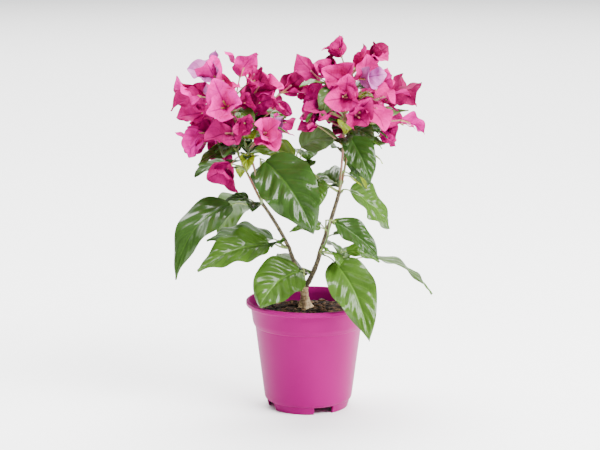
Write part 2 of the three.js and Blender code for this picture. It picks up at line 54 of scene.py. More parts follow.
# Pot.
RIM_RADIUS = 65
RIM_TOP = 113
LIP_HEIGHT = 5
COLLAR_TOP_RADIUS = 60.5
COLLAR_FOOT_RADIUS = 58
COLLAR_FOOT = 91
LEDGE = 87
BODY_TOP_RADIUS = 55.5
BODY_FOOT_RADIUS = 46
BODY_FOOT = 12
FLOOR_UNDERSIDE = 7.5
FOOT_RADIUS = 43.5
WALL = 1.4
FLOOR_THICKNESS = 2
HEEL_HEIGHT = 2.5
EDGE_SETBACK = 0.6
LEDGE_WIDTH = 1
LEDGE_INNER_DROP = 1
LIP_EDGE = 1
LIP_INNER_DROP = 0.5
RIM_BEVEL = 1.2
RIM_WIDTH = 3.2
POT_FILLET = 1.6
POT_SEGMENTS = 144

# The foot's lobes: four ring pieces that lean in towards the ground, sunk a little into the pot's floor.
LOBES = 4
LOBE_GAP_ANGLE = 28
FIRST_GAP_BEARING = -68
LOBE_LEAN = 2
LOBE_ROOT_INSET = 1
LOBE_ROOT_OUTSET = 0.4
LOBE_INNER_SINK = 0.6
LOBE_OUTER_SINK = 0.8
LOBE_FILLET = 0.8

# A corner's fillet is at most this part of its shorter side, and is drawn with this many points.
FILLET_PART = 3
FILLET_POINTS = 6

# Potting mix: level in the middle, then falling to the wall, with lumps from waves. A wave's pace is in
# radians a millimetre.
SOIL_MIDDLE = 104
SOIL_EDGE = 100
SOIL_RADIUS = 57.2
SOIL_LEVEL_RADIUS = 18
SOIL_SUNK = 1.2
SOIL_LUMP = 0.8
SOIL_WAVES = 9
SOIL_PACE = (0.12, 0.87)
SOIL_SEED = 77
SOIL_DEPTH = 6
SOIL_UNDERSIDE_INSET = 2
SOIL_RINGS = 90
SOIL_SEGMENTS = 240

# Shards of bark on the mix: half their length, width and height, their greatest tip in radians, and the share
# of the height that lifts them. The profile is the height and the reach of each ring of a shard, as shares.
CHIPS = 620
CHIP_KINDS = ("chip_dark", "chip_dark", "chip_brown", "chip_tan")
CHIP_LENGTH = (1.5, 5.5)
CHIP_WIDTH = (0.8, 2.4)
CHIP_HEIGHT = (0.4, 1.1)
LARGE_CHIP_EVERY = 9
LARGE_CHIP_LENGTH = 1.7
LARGE_CHIP_WIDTH = 1.6
CHIP_MARGIN = 1.5
CHIP_TIP = 0.5
CHIP_LIFT = 0.7
CHIP_SIDES = 6
CHIP_UNEVEN = 0.3
CHIP_PROFILE = np.array([[-1.0, 0.0], [-0.5, 1.0], [0.5, 0.9], [1.0, 0.0]])

# Limbs, as in the part's source: bearing, climb, length and turn of an arc, and thickness at foot and tip.
TRUNK_FOOT = np.array([-3.5, 5.0, SOIL_MIDDLE + 0.3])
ROOT_FLARE = 1.75
KNOB = 1.12
SEAT = 0.3
LIMBS = {
    "trunk": {"arc": [-97, 78, 21, -4], "thick": [8.6, 7.4]},
    "left_bough": {"on": "trunk", "arc": [189, 68, 42, 4], "thick": [4.8, 4.0]},
    "left_upper_bough": {"on": "left_bough", "arc": [178, 64, 52, -10], "thick": [4.0, 3.4]},
    "right_bough": {"on": "trunk", "arc": [-15, 58, 39, 20], "thick": [5.4, 4.6]},
    "right_upper_bough": {"on": "right_bough", "arc": [12, 70, 62, 4], "thick": [4.6, 3.8]},
}

# Masses, as in the part's source. A leaf row: share up the stem, bearing, climb, stalk length, blade length,
# blade width, droop, roll. A bloom row: share up the stem, bearing, climb, length and turn of its twig, bract
# length.
MASSES = {
    "front_low_leaves": {
        "on": "trunk",
        "stem": [-92, 48, 20, 24],
        "leaves": [[1, -138, 2, 5, 66, 50, 60, -38]],
    },
    "left_low_leaves": {
        "on": "left_bough",
        "stem": [-150, 5, 14, 30],
        "leaves": [[0.95, -157, 2, 8, 84, 42, 34, -38]],
    },
    "right_low_leaves": {
        "on": "right_bough",
        "stem": [-75, -5, 16, 10],
        "leaves": [[1, -52, -28, 15, 96, 47, 48, 25]],
    },
    "right_mid_leaves": {
        "on": "right_bough",
        "stem": [-65, 35, 42, 50],
        "leaves": [[1, -15, -24, 6, 60, 30, 30, 35], [0.7, -170, 15, 9, 34, 20, 40, -25]],
    },
    "right_side_leaves": {
        "on": "right_bough",
        "stem": [33, -14, 40, -10],
        "leaves": [[1, 27, -8, 17, 98, 30, 44, -14], [0.6, 84, 6, 12, 62, 36, 56, 10]],
    },
    "left_side_leaves": {
        "on": "left_upper_bough",
        "stem": [-160, -5, 16, 10],
        "leaves": [[1, -144, -8, 18, 106, 40, 76, -30]],
    },
    "centre_front_leaf": {
        "on": "left_upper_bough",
        "stem": [-92, 15, 62, 100],
        "leaves": [[1, -39, -30, 6, 94, 58, 34, 46]],
    },
    "centre_leaves": {
        "on": "right_upper_bough",
        "stem": [172, 30, 56, 20],
        "leaves": [
            [1, 24, 40, 10, 46, 30, 60, 60],
            [0.8, -178, 30, 12, 44, 28, 40, -40],
            [0.5, -80, -35, 8, 32, 20, 40, 0],
            [0.9, 80, 10, 12, 48, 30, 50, 0],
        ],
    },
    "right_back_leaves": {
        "on": "right_upper_bough",
        "stem": [78, -15, 20, 30],
        "leaves": [[1, 24, -26, 8, 66, 44, 34, 45], [0.6, 120, 20, 14, 60, 36, 50, -20]],
    },
    "left_bloom": {
        "on": "left_upper_bough",
        "stem": [-150, 80, 112, -24],
        "leaves": [
            [0.42, -160, 10, 18, 44, 28, 50, -20],
            [0.9, -50, 0, 12, 30, 18, 45, 30],
            [0.22, -30, 20, 8, 24, 14, 50, 10],
            [0.55, 150, 10, 16, 46, 28, 50, -10],
            [0.4, -155, -10, 14, 34, 20, 45, 0],
            [0.5, -90, -15, 18, 26, 15, 45, 0],
        ],
        "blooms": [
            [1, -176, 25, 26, -16, 40],
            [0.72, -170, 10, 37, -30, 38],
            [0.95, -162, 76, 30, -16, 38],
            [0.85, 50, 80, 42, -10, 38],
            [0.75, -36, 66, 42, -16, 40],
            [0.8, -105, 40, 34, -16, 42],
            [0.6, -110, 28, 34, -16, 40],
            [0.5, -66, 36, 42, -16, 40],
            [0.4, -128, 45, 36, -90, 34],
            [0.62, -36, 48, 52, -16, 38],
            [0.7, 8, 50, 58, -16, 34],
            [0.85, 153, 15, 28, -16, 38],
            [0.6, 40, 78, 26, -16, 36],
        ],
    },
    "right_bloom": {
        "on": "right_upper_bough",
        "stem": [-60, 80, 126, 10],
        "leaves": [
            [0.52, -40, -50, 8, 58, 33, 20, 30],
            [0.4, 14, 0, 18, 28, 16, 50, 20],
            [0.16, 10, -30, 8, 28, 16, 30, 20],
            [0.95, -158, 20, 6, 22, 12, 30, -30],
            [0.97, 23, 25, 6, 21, 12, 30, 20],
            [0.88, 60, 40, 14, 26, 15, 40, 0],
            [0.75, -145, 25, 26, 38, 22, 45, 0],
            [0.9, -120, -25, 24, 36, 22, 45, -30],
            [0.46, 6, 22, 28, 46, 16, 20, 50],
        ],
        "blooms": [
            [1, 141, 72, 14, -10, 28],
            [0.92, -20, 50, 16, -10, 34],
            [0.8, 160, 36, 34, -16, 36],
            [0.72, -31, 38, 30, -16, 40],
            [0.66, 10, 26, 50, -16, 40],
            [0.68, -91, 34, 34, -16, 38],
            [0.58, -128, 34, 36, -16, 38],
            [0.6, -50, 30, 40, -16, 38],
            [0.5, -4, 19, 60, -16, 33],
            [0.62, 28, 28, 44, -16, 36],
        ],
    },
}

# The far side repeats masses of the near side, mirrored in plan and varied by a seeded draw.
FAR_BEARING_SPREAD = 24
FAR_CLIMB_SPREAD = 12
FAR_TRIES = 30
FAR_SCALE = [0.78, 1]
FAR_BLOOM_SETBACK = 26
FAR_BLOOM_RAISE = 0.35
FAR_PULL = 0.2
FAR_STEM = 0.8
FAR_NAMES = {
    "front_low_leaves": "back_low_leaves",
    "left_low_leaves": "left_low_back_leaves",
    "right_mid_leaves": "right_mid_back_leaves",
    "left_side_leaves": "left_side_back_leaves",
    "centre_front_leaf": "centre_back_leaf",
    "left_bloom": "left_back_bloom",
    "right_bloom": "right_back_bloom",
}

# Leaves, bracts and twigs.
STEM_THICK = [2.8, 1.8]
TWIG_THICK = [1.8, 1.3]
STALK_THICK = [1.6, 1.3]
STALK_RISE = 28
LEAST_TURN = 0.5
BLADE_FOLD = 0.2
LEAF_OUTLINE = [[0, 0], [0.14, 0.76], [0.38, 1], [0.72, 0.58], [1, 0]]
BRACT_OUTLINE = [[0, 0], [0.36, 0.76], [0.7, 0.92], [1, 0]]
BRACT_WIDTH = 0.84
BRACT_OPEN = 34
BRACT_FLARE = 30
BLOOM_APART = 15
BRACT_FOLD = -0.22
BRACTS_IN_A_BLOOM = 3
ROOT_SINK = 0.5

# What the test for a clear place goes by, for the part's own growth and for the finer growth added here.
SAMPLE_STEP = 5
BLADE_CLEARANCE = 5
FUSED_CLEARANCE = 2
FINE_BLADE_CLEARANCE = 3
FINE_FUSED_CLEARANCE = 0.5
FINE_BLOOM_APART = 12
POT_CLEARANCE = 3
CROWN_HALF_DEPTH = 82

# Finer growth in each mass, tried turn by turn round its stem: how much, where from, how steep and how long.
FINE_BLOOMS = 12
FINE_LEAVES = 12
FINE_SIDE_STEP = 16
FINE_FOOT = 0.3
FINE_TRIES = 90
FINE_SEED = 3000
FINE_PLACE = (0.25, 1)
FINE_BEARING_SPREAD = 30
FINE_CLIMB = (5, 65)
FINE_TWIG = (12, 42)
FINE_TWIG_TURN = -14
FINE_BRACT = (24, 36)
FINE_LEAST_BRACTS = 2

# A finer leaf is tried every third time, lower on the stem and a quarter turn on from the bloom's bearing.
TRIES_A_LEAF = 3
FINE_LEAF_PLACE = 0.8
FINE_LEAF_BEARING = 90
FINE_LEAF_CLIMB = 0.5
FINE_STALK = (6, 14)
FINE_BLADE = (26, 46)
FINE_WIDTH = (17, 28)
FINE_DROOP = 50
FINE_ROLL = (-30, 30)
FINE_REACH_TURN = -30


def linear(hex_colour):
    """An sRGB colour written as six hex digits, as linear red, green, blue and alpha."""
    channels = [int(hex_colour[i : i + 2], 16) / 255 for i in (0, 2, 4)]
    return [c / 12.92 if c <= 0.04045 else ((c + 0.055) / 1.055) ** 2.4 for c in channels] + [1.0]


def part_way(limits, share):
    return limits[0] + (limits[1] - limits[0]) * share


def between(limits, roll):
    return part_way(limits, roll())


def dice(seed):
    """A linear congruential generator: each call gives the next number from 0 to 1."""
    state = seed

    def roll():
        nonlocal state
        state = (state * 1664525 + 1013904223) % 4294967296
        return state / 4294967296

    return roll


class Arc:
    """An arc in the plane of two unit vectors. It leaves `start` at an angle from `ahead` towards `up`, and
    that angle turns evenly over the arc's length."""

    def __init__(self, start, ahead, up, angle, length, turn):
        self.start = start
        self.ahead = ahead
        self.up = up
        self.first = math.radians(angle)
        self.swing = math.radians(LEAST_TURN if abs(turn) < LEAST_TURN else turn)
        self.length = length
        self.side = np.cross(up, ahead)

    def point(self, t):
        """Start + length / swing times (sine difference along `ahead`, cosine difference along `up`)."""
        t = np.asarray(t, float)[..., None]
        angle = self.first + self.swing * t
        along = self.length / self.swing * (np.sin(angle) - math.sin(self.first))
        rise = self.length / self.swing * (math.cos(self.first) - np.cos(angle))
        return self.start + along * self.ahead + rise * self.up

    def tangent(self, t):
        angle = self.first + self.swing * np.asarray(t, float)[..., None]
        return np.cos(angle) * self.ahead + np.sin(angle) * self.up

    def axes(self, t, roll):
        """The directions across the arc and square to its face, after a roll about the arc."""
        face = np.cross(self.tangent(t), self.side)
        c = np.cos(np.radians(roll))[..., None]
        s = np.sin(np.radians(roll))[..., None]
        return self.side * c + face * s, face * c - self.side * s


def plant_arc(start, bearing, climb, length, turn):
    ahead = np.array([math.cos(math.radians(bearing)), math.sin(math.radians(bearing)), 0.0])
    return Arc(start, ahead, UP, climb, length, turn)


def blade_samples(arc, width, outline, fold, roll):
    """Points about SAMPLE_STEP apart over a blade."""
    rows = max(3, round_half_up(arc.length / SAMPLE_STEP))
    points = []
    for i in range(1, rows + 1):
        t = i / rows
        across, face = arc.axes(t, roll)
        reach = width / 2 * np.interp(t, [p[0] for p in outline], [p[1] for p in outline])
        columns = max(1, round_half_up(reach / SAMPLE_STEP))
        out = np.arange(-columns, columns + 1)[:, None] / columns * reach
        points.append(arc.point(t) + across * out + face * fold * np.abs(out))
    return np.vstack(points)


def round_half_up(value):
    return math.floor(value + 0.5)


def arc_samples(arc):
    count = max(2, round_half_up(arc.length / SAMPLE_STEP))
    return arc.point(np.arange(count + 1) / count)


class Crown:
    """The places that are taken so far, as points with their owner, kind and spray."""

    def __init__(self):
        self.points = np.zeros((0, 3))
        self.owner = np.zeros(0, int)
        self.blade = np.zeros(0, bool)
        self.spray = np.zeros(0, int)
        self.thick = np.zeros(0)
        self.owners = {}
        self.between = BLADE_CLEARANCE
        self.within = FUSED_CLEARANCE

    def number(self, owner):
        return self.owners.setdefault(owner, len(self.owners))

    def take(self, points, owner, kind, spray, thick):
        count = len(points)
        self.points = np.vstack([self.points, points])
        self.owner = np.append(self.owner, np.full(count, self.number(owner)))
        self.blade = np.append(self.blade, np.full(count, kind == "blade"))
        self.spray = np.append(self.spray, np.full(count, spray))
        self.thick = np.append(self.thick, np.full(count, thick))

    def is_clear(self, points, owner, kind, spray):
        """Inside the crown's depth, off the pot, and no point too near another node's or another blade's."""
        low_and_near = (points[:, 2] < RIM_TOP + POT_CLEARANCE) & (
            np.hypot(points[:, 0], points[:, 1]) < RIM_RADIUS + POT_CLEARANCE
        )
        if low_and_near.any() or (np.abs(points[:, 1]) > CROWN_HALF_DEPTH).any():
            return False
        same = self.owner == self.number(owner)
        ignored = same & ((self.spray == spray) | (kind != "blade") | ~self.blade)
        apart = np.where(same, self.within, self.between) + self.thick / 2
        margin = apart.max() if len(apart) else 0
        near = ~ignored
        near &= (self.points > points.min(0) - margin).all(1) & (self.points < points.max(0) + margin).all(1)
        if not near.any():
            return True
        gaps = np.linalg.norm(points[:, None] - self.points[near][None], axis=2)
        return not (gaps < apart[near]).any()


crown = Crown()
limb_arcs = {}
limb_tips = {}


def leave_tip(limb, bearing, climb):
    point, radius = limb_tips[limb]
    return plant_arc(point, bearing, climb, radius + SEAT, 0).point(1)


def lay_limbs():
    """The limbs' arcs, each from its parent's tip."""
    for number, (name, limb) in enumerate(LIMBS.items()):
        bearing, climb, length, turn = limb["arc"]
        foot = leave_tip(limb["on"], bearing, climb) if "on" in limb else TRUNK_FOOT
        arc = plant_arc(foot, bearing, climb, length, turn)
        limb_arcs[name] = arc
        limb_tips[name] = (arc.point(1), limb["thick"][1] / 2 * KNOB)
        crown.take(arc_samples(arc), name, "limb", number, limb["thick"][0])


def mirrored(bearing):
    return -bearing + (90 + bearing) * FAR_PULL


def far_mass(near):
    """The mirrored copy of a mass, for the far side."""
    bearing, climb, length, turn = near["stem"]
    setback = FAR_BLOOM_SETBACK if "blooms" in near else 0
    blooms = near.get("blooms", [])
    return {
        "on": near["on"],
        "far": True,
        "stem": [mirrored(bearing), climb - setback, length * FAR_STEM, turn + setback],
        "leaves": [[row[0], mirrored(row[1]), *row[2:7], -row[7]] for row in near["leaves"]],
        "blooms": [[row[0] + (1 - row[0]) * FAR_BLOOM_RAISE, -row[1], *row[2:]] for row in blooms],
    }


def vary(row, roll, sized):
    """A far row with its size, bearing and climb drawn anew. `sized` lists the entries the size scales."""
    size = between(FAR_SCALE, roll)
    varied = list(row)
    varied[1] = row[1] + (2 * roll() - 1) * FAR_BEARING_SPREAD
    varied[2] = row[2] + (2 * roll() - 1) * FAR_CLIMB_SPREAD
    for i in sized:
        varied[i] = row[i] * size
    return varied


def start_mass(name, plan, seed):
    bearing, climb, length, turn = plan["stem"]
    arc = plant_arc(leave_tip(plan["on"], bearing, climb), bearing, climb, length, turn)
    crown.take(arc_samples(arc)[1:], name, "twig", -1, STEM_THICK[0])
    return {
        "name": name,
        "plan": plan,
        "arc": arc,
        "roll": dice(seed),
        "fine_roll": dice(seed + FINE_SEED),
        "sprays": 0,
        "hearts": [],
        "leaves": [],
        "blooms": [],
    }


def grow_leaf(mass, row):
    at, bearing, climb, stalk, length, width, droop, roll = row
    stem = plant_arc(mass["arc"].point(at), bearing, climb + STALK_RISE, stalk, -STALK_RISE)
    blade = plant_arc(stem.point(1), bearing, climb, length, -droop)
    points = blade_samples(blade, width, LEAF_OUTLINE, BLADE_FOLD, roll)
    if not crown.is_clear(points, mass["name"], "blade", mass["sprays"]):
        return False
    crown.take(points, mass["name"], "blade", mass["sprays"], 0)
    crown.take(arc_samples(stem)[1:], mass["name"], "twig", mass["sprays"], STALK_THICK[0])
    mass["sprays"] += 1
    mass["leaves"].append({"stem": stem, "blade": blade, "width": width, "roll": roll})
    return True


def grow_bloom(mass, row, apart=BLOOM_APART, least=1):
    at, bearing, climb, reach, turn, bract = row
    twig = plant_arc(mass["arc"].point(at), bearing, climb, reach, turn)
    heart = twig.point(1)
    axis = twig.tangent(1)
    across, face = twig.axes(1, 0)
    step = 360 / BRACTS_IN_A_BLOOM
    spin = mass["roll"]() * step
    blades = []
    for i in range(BRACTS_IN_A_BLOOM):
        angle = math.radians(spin + i * step)
        out = across * math.cos(angle) + face * math.sin(angle)
        blades.append(Arc(heart - axis * ROOT_SINK, axis, out, BRACT_OPEN, bract, BRACT_FLARE))
    width = bract * BRACT_WIDTH
    stalk = arc_samples(twig)[1:]
    if any(np.linalg.norm(other - heart) < apart for other in mass["hearts"]):
        return False
    if not crown.is_clear(stalk, mass["name"], "twig", mass["sprays"]):
        return False
    grown = []
    for blade in blades:
        points = blade_samples(blade, width, BRACT_OUTLINE, BRACT_FOLD, 0)
        if crown.is_clear(points, mass["name"], "blade", mass["sprays"]):
            crown.take(points, mass["name"], "blade", mass["sprays"], 0)
            grown.append(blade)
    if len(grown) < least:
        return False
    crown.take(stalk, mass["name"], "twig", mass["sprays"], TWIG_THICK[0])
    mass["hearts"].append(heart)
    mass["sprays"] += 1
    mass["blooms"].append({"twig": twig, "blades": grown, "width": width})
    return True


def grow_rows(mass, rows, grow, sized):
    far = "far" in mass["plan"]
    for row in rows:
        for _ in range(FAR_TRIES if far else 1):
            if grow(mass, vary(row, mass["roll"], sized) if far else row):
                break


def grow_part():
    """The part's own masses, grown by the source's rule in the source's order."""
    plans = list(MASSES.items())
    plans += [(FAR_NAMES[name], far_mass(plan)) for name, plan in MASSES.items() if name in FAR_NAMES]
    masses = [start_mass(name, plan, SEED + i) for i, (name, plan) in enumerate(plans)]
    for mass in masses:
        grow_rows(mass, mass["plan"].get("blooms", []), grow_bloom, [3, 5])
        grow_rows(mass, mass["plan"]["leaves"], grow_leaf, [4, 5])
    return masses


def grow_finer(mass):
    """More blooms and leaves round a mass's stem, kept inside the box that its own growth fills."""
    roll = mass["fine_roll"]
    crown.within = FINE_FUSED_CLEARANCE if mass["blooms"] else FINE_BLADE_CLEARANCE
    own = crown.points[crown.owner == crown.number(mass["name"])]
    low = own.min(0)
    high = own.max(0)
    low[2] += FINE_FOOT * (high[2] - low[2])
    bloom_goal = FINE_BLOOMS if mass["blooms"] else 0
    leaf_goal = FINE_LEAVES if mass["blooms"] else round(mass["arc"].length / FINE_SIDE_STEP)
    blooms = 0
    leaves = 0
    for i in range(FINE_TRIES):
        at = between(FINE_PLACE, roll)
        bearing = i * GOLDEN_ANGLE + FINE_BEARING_SPREAD * roll()
        climb = between(FINE_CLIMB, roll)
        size = roll()
        if blooms < bloom_goal:
            reach = between(FINE_TWIG, roll)
            bract = part_way(FINE_BRACT, size)
            end = plant_arc(mass["arc"].point(at), bearing, climb, reach, FINE_TWIG_TURN).point(1)
            if (end > low + bract / 2).all() and (end < high - bract / 2).all():
                row = [at, bearing, climb, reach, FINE_TWIG_TURN, bract]
                blooms += grow_bloom(mass, row, FINE_BLOOM_APART, FINE_LEAST_BRACTS)
        if leaves < leaf_goal and i % TRIES_A_LEAF == 0:
            row = fine_leaf_row(at, bearing, climb, size, roll)
            reach = row[3] + row[4]
            end = plant_arc(mass["arc"].point(row[0]), row[1], row[2], reach, FINE_REACH_TURN).point(1)
            if (end > low).all() and (end < high).all():
                leaves += grow_leaf(mass, row)


def fine_leaf_row(at, bearing, climb, size, roll):
    return [
        at * FINE_LEAF_PLACE,
        bearing + FINE_LEAF_BEARING,
        climb * FINE_LEAF_CLIMB,
        part_way(FINE_STALK, size),
        part_way(FINE_BLADE, size),
        part_way(FINE_WIDTH, size),
        FINE_DROOP,
        between(FINE_ROLL, roll),
    ]


def grid_quads(rows, columns):
    """The quads of a grid of points, as point numbers."""
    first = (np.arange(rows - 1)[:, None] * columns + np.arange(columns - 1)).ravel()
    return np.stack([first, first + 1, first + columns + 1, first + columns], axis=1)


def sheet(points, u, v):
    """One surface from a grid of points: the points, with those that meet at a seam or a pole made one, the
    quads between them and the place of each quad's corners on the surface."""
    quads = grid_quads(*points.shape[:2])
    places = np.stack([u, v], axis=-1).reshape(-1, 2)[quads]
    # Adding zero makes each -0.0 a 0.0, which np.unique would take for another place.
    exact = np.round(points.reshape(-1, 3), MERGE_DIGITS) + 0.0
    merged, number = np.unique(exact, axis=0, return_inverse=True)
    return merged, number.ravel()[quads], places


def tube(arc, radius_at, grid, first=0.0, last=1.0):
    """A ring carried along an arc: centre plus radius times the cosine across and the sine along the face.
    Its first and last rings are drawn in to the centre, which closes both ends."""
    sides, rings = grid
    t = np.linspace(first, last, rings + 1)
    t = np.concatenate([t[:1], t, t[-1:]])[:, None]
    angle = np.linspace(0, 2 * np.pi, sides + 1)[None, :]
    across, face = arc.axes(t, np.zeros_like(t))
    radius = radius_at(t, angle)[..., None]
    radius[[0, -1]] = 0
    ring = across * np.cos(angle)[..., None] + face * np.sin(angle)[..., None]
    u, v = np.broadcast_arrays(angle / (2 * np.pi), t)
    return sheet(arc.point(t) + ring * radius, u, v)


def tapered(thick):
    return lambda t, angle: part_way(thick, t) / 2 + 0 * angle


def waves(x, y, count, pace_at, roll):
    """The sum of `count` sines over a plane, each with its heading, its pace and its start drawn in turn."""
    total = 0
    for _ in range(count):
        heading = 2 * np.pi * roll()
        pace = pace_at(roll())
        total = total + np.sin(pace * (x * math.cos(heading) + y * math.sin(heading)) + 2 * np.pi * roll())
    return total


# Blades. A blade's ends stop this share of its length short of a point, and its columns crowd to the midrib.
BLADE_END = 0.002
COLUMN_CROWDING = 1.25
USUAL_BREADTH = 0.45
TWIST_FROM = 0.25
VEIN_ARCH = 1.3
PILLOW_FADE = 0.7
WAVE_FADE = 0.5
GROOVE_WIDTH = 1.1
WAVES_DRAWN = (0.8, 1.2)
CURL_DRAWN = (0.4, 1)
CRUMPLES = 5
CRUMPLE_LENGTH = (0.25, 0.8)


def blade_share(t, base, tip):
    """A blade's half width as a share of its greatest: t to the power `base` times 1 - t to the power `tip`,
    over what that comes to where it is widest."""
    widest = base / (base + tip)
    return np.power(t, base) * np.power(1 - t, tip) / (widest**base * (1 - widest) ** tip)


def blade_sheet(arc, width, roll_angle, fold, shape, roll):
    """A blade laid along an arc: across it goes its half width, and square to it its lift, a fold that rises
    from the midrib plus the relief. Its columns run so that a leaf's faces point up and a bract's out."""
    rows, columns = shape["grid"]
    t = np.linspace(BLADE_END, 1 - BLADE_END, rows)[:, None]
    even = np.linspace(1, -1, columns)[None, :]
    s = np.sign(even) * np.abs(even) ** COLUMN_CROWDING
    base, tip = shape["outline"]
    rounding = 1 + shape["broad_round"] * (USUAL_BREADTH - width / arc.length)
    reach = width / 2 * blade_share(t, base, tip * rounding)
    twist = shape["twist"] * (2 * roll() - 1)
    across, face = arc.axes(t, roll_angle + twist * (t - TWIST_FROM))
    lift = fold * reach * np.abs(s) + blade_relief(arc.length, width, t, s, reach, shape, roll)
    points = arc.point(t) + across * (reach * s)[..., None] + face * lift[..., None]
    u, v = np.broadcast_arrays((s + 1) / 2, t)
    return sheet(points, u, v)


def blade_relief(length, width, t, s, reach, shape, roll):
    """A pillow between each two side veins, less a groove over the midrib, plus a wave that grows with the
    square of the way to each margin, less a curl of the margins towards the tip, plus a drawn crumple."""
    edge = np.abs(s)
    hump = np.sin(np.pi * t)
    vein = np.cos(2 * np.pi * shape["veins"] * (t - shape["vein_slant"] * edge**VEIN_ARCH))
    pillow = shape["pillow"] * width * (1 - vein) / 2 * np.sin(np.pi * edge) * hump**PILLOW_FADE
    groove = shape["groove"] * np.exp(-np.square(s * reach / GROOVE_WIDTH)) * (1 - t)
    start = np.where(s < 0, 2 * np.pi * roll(), 2 * np.pi * roll())
    count = shape["waves"] * between(WAVES_DRAWN, roll)
    calm = min(1, length / shape["full_waves_from"])
    ripple = np.square(edge) * np.sin(2 * np.pi * count * t + start) * hump**WAVE_FADE
    wave = shape["wave"] * calm * width * ripple
    curl = shape["curl"] * width * np.square(edge) * np.square(t) * between(CURL_DRAWN, roll)
    crumple = shape["crumple"] * width * crumpled(t * length, s * reach, length, roll) * hump
    return pillow - groove + wave - curl + crumple


def crumpled(along, out, length, roll):
    """Drawn waves over a blade, each a share of its length long, and about one high in all."""

    def pace_at(share):
        return 2 * np.pi / (length * part_way(CRUMPLE_LENGTH, share))

    return waves(along, out, CRUMPLES, pace_at, roll) / 2


# What shapes the two kinds of blade: the grid's rows along and columns across, the outline's two powers, the
# twist in degrees, groove and full_waves_from in millimetres, and pillow, wave, curl and crumple as parts of
# the width.
LEAF_SHAPE = {
    "grid": (44, 25),
    "outline": (0.58, 1.2),
    "broad_round": 1,
    "twist": 22,
    "veins": 6,
    "vein_slant": 0.3,
    "pillow": 0.045,
    "groove": 1.2,
    "waves": 2.6,
    "wave": 0.075,
    "full_waves_from": 80,
    "curl": 0.12,
    "crumple": 0.02,
}
BRACT_SHAPE = {
    "grid": (26, 19),
    "outline": (0.62, 0.86),
    "broad_round": 0,
    "twist": 36,
    "veins": 5,
    "vein_slant": 0.3,
    "pillow": 0.025,
    "groove": 0.8,
    "waves": 1.9,
    "wave": 0.1,
    "full_waves_from": 20,
    "curl": -0.05,
    "crumple": 0.04,
}

# Tubes: sides and rings, and how far a stalk, a twig or a stem runs on into what bears it, in millimetres.
STALK_GRID = (8, 8)
TWIG_GRID = (8, 10)
STEM_GRID = (10, 24)
FLOWER_GRID = (7, 12)
TWIG_SINK = 1
STEM_SINK = 2

# Flowers: one stands in front of each bract, narrow in the middle, five-ribbed and round at the mouth.
FLOWER_LENGTH = 13
FLOWER_GROWN = (0.75, 1.1)
FLOWER_THICK = [1.7, 2.6]
FLOWER_LEAN = (8, 24)
FLOWER_BEND = 8
FLOWER_WAIST = 1.6
FLOWER_MOUTH = 14
FLOWER_RIBS = 5
FLOWER_RIB_HEIGHT = 0.1

# How often each colour of leaf and of bract is drawn. A leaf of LONG_LEAF or more is a grown one, and those
# of the masses in front have a chosen colour. A bloom's mass has young leaves, shorter than YOUNG_LEAF.
LONG_LEAF = 60
YOUNG_LEAF = 27
CHOSEN_LEAVES = {
    "front_low_leaves": "leaf_mid",
    "left_low_leaves": "leaf_mid",
    "right_low_leaves": "leaf_mid",
    "right_mid_leaves": "leaf_dark",
    "right_side_leaves": "leaf_mid",
    "left_side_leaves": "leaf_dark",
    "centre_front_leaf": "leaf_dark",
    "right_back_leaves": "leaf_mid",
}
GROWN_LEAVES = {"leaf_dark": 0.45, "leaf_mid": 0.4, "leaf_fresh": 0.15}
SMALL_LEAVES = {"leaf_dark": 0.42, "leaf_mid": 0.28, "leaf_fresh": 0.12, "leaf_grey": 0.18}
BRACT_COLOURS = {
    "bract_hot": 0.4,
    "bract_magenta": 0.3,
    "bract_deep": 0.12,
    "bract_pale": 0.14,
    "bract_lilac": 0.04,
}
FOLIAGE = [*SMALL_LEAVES, "leaf_young", *BRACT_COLOURS, "twig_green", "twig_pink", "flower_tube"]
ODD_BRACTS = 0.3
BRACT_TILT = (-25, 25)
BRACT_EXTRA_FOLD = (0, 0.4)
BRACT_SIZE = (0.76, 0.94)
BRACT_LEAN = (12, 36)
BRACT_BEND = (5, 45)


def drawn(shares, roll):
    """One of the names, drawn by its share."""
    mark = roll() * sum(shares.values())
    for name, share in shares.items():
        mark -= share
        if mark <= 0:
            return name
    return name


def dress_leaf(mass, leaf, parts):
    roll = mass["fine_roll"]
    blade = leaf["blade"]
    if mass["blooms"] and blade.length < YOUNG_LEAF:
        colour = "leaf_young"
    elif blade.length < LONG_LEAF:
        colour = drawn(SMALL_LEAVES, roll)
    else:
        colour = CHOSEN_LEAVES.get(mass["name"]) or drawn(GROWN_LEAVES, roll)
    parts[colour].append(blade_sheet(blade, leaf["width"], leaf["roll"], BLADE_FOLD, LEAF_SHAPE, roll))
    stalk = leaf["stem"]
    sink = TWIG_SINK / stalk.length
    parts["twig_green"].append(tube(stalk, tapered(STALK_THICK), STALK_GRID, -sink, 1 + sink))


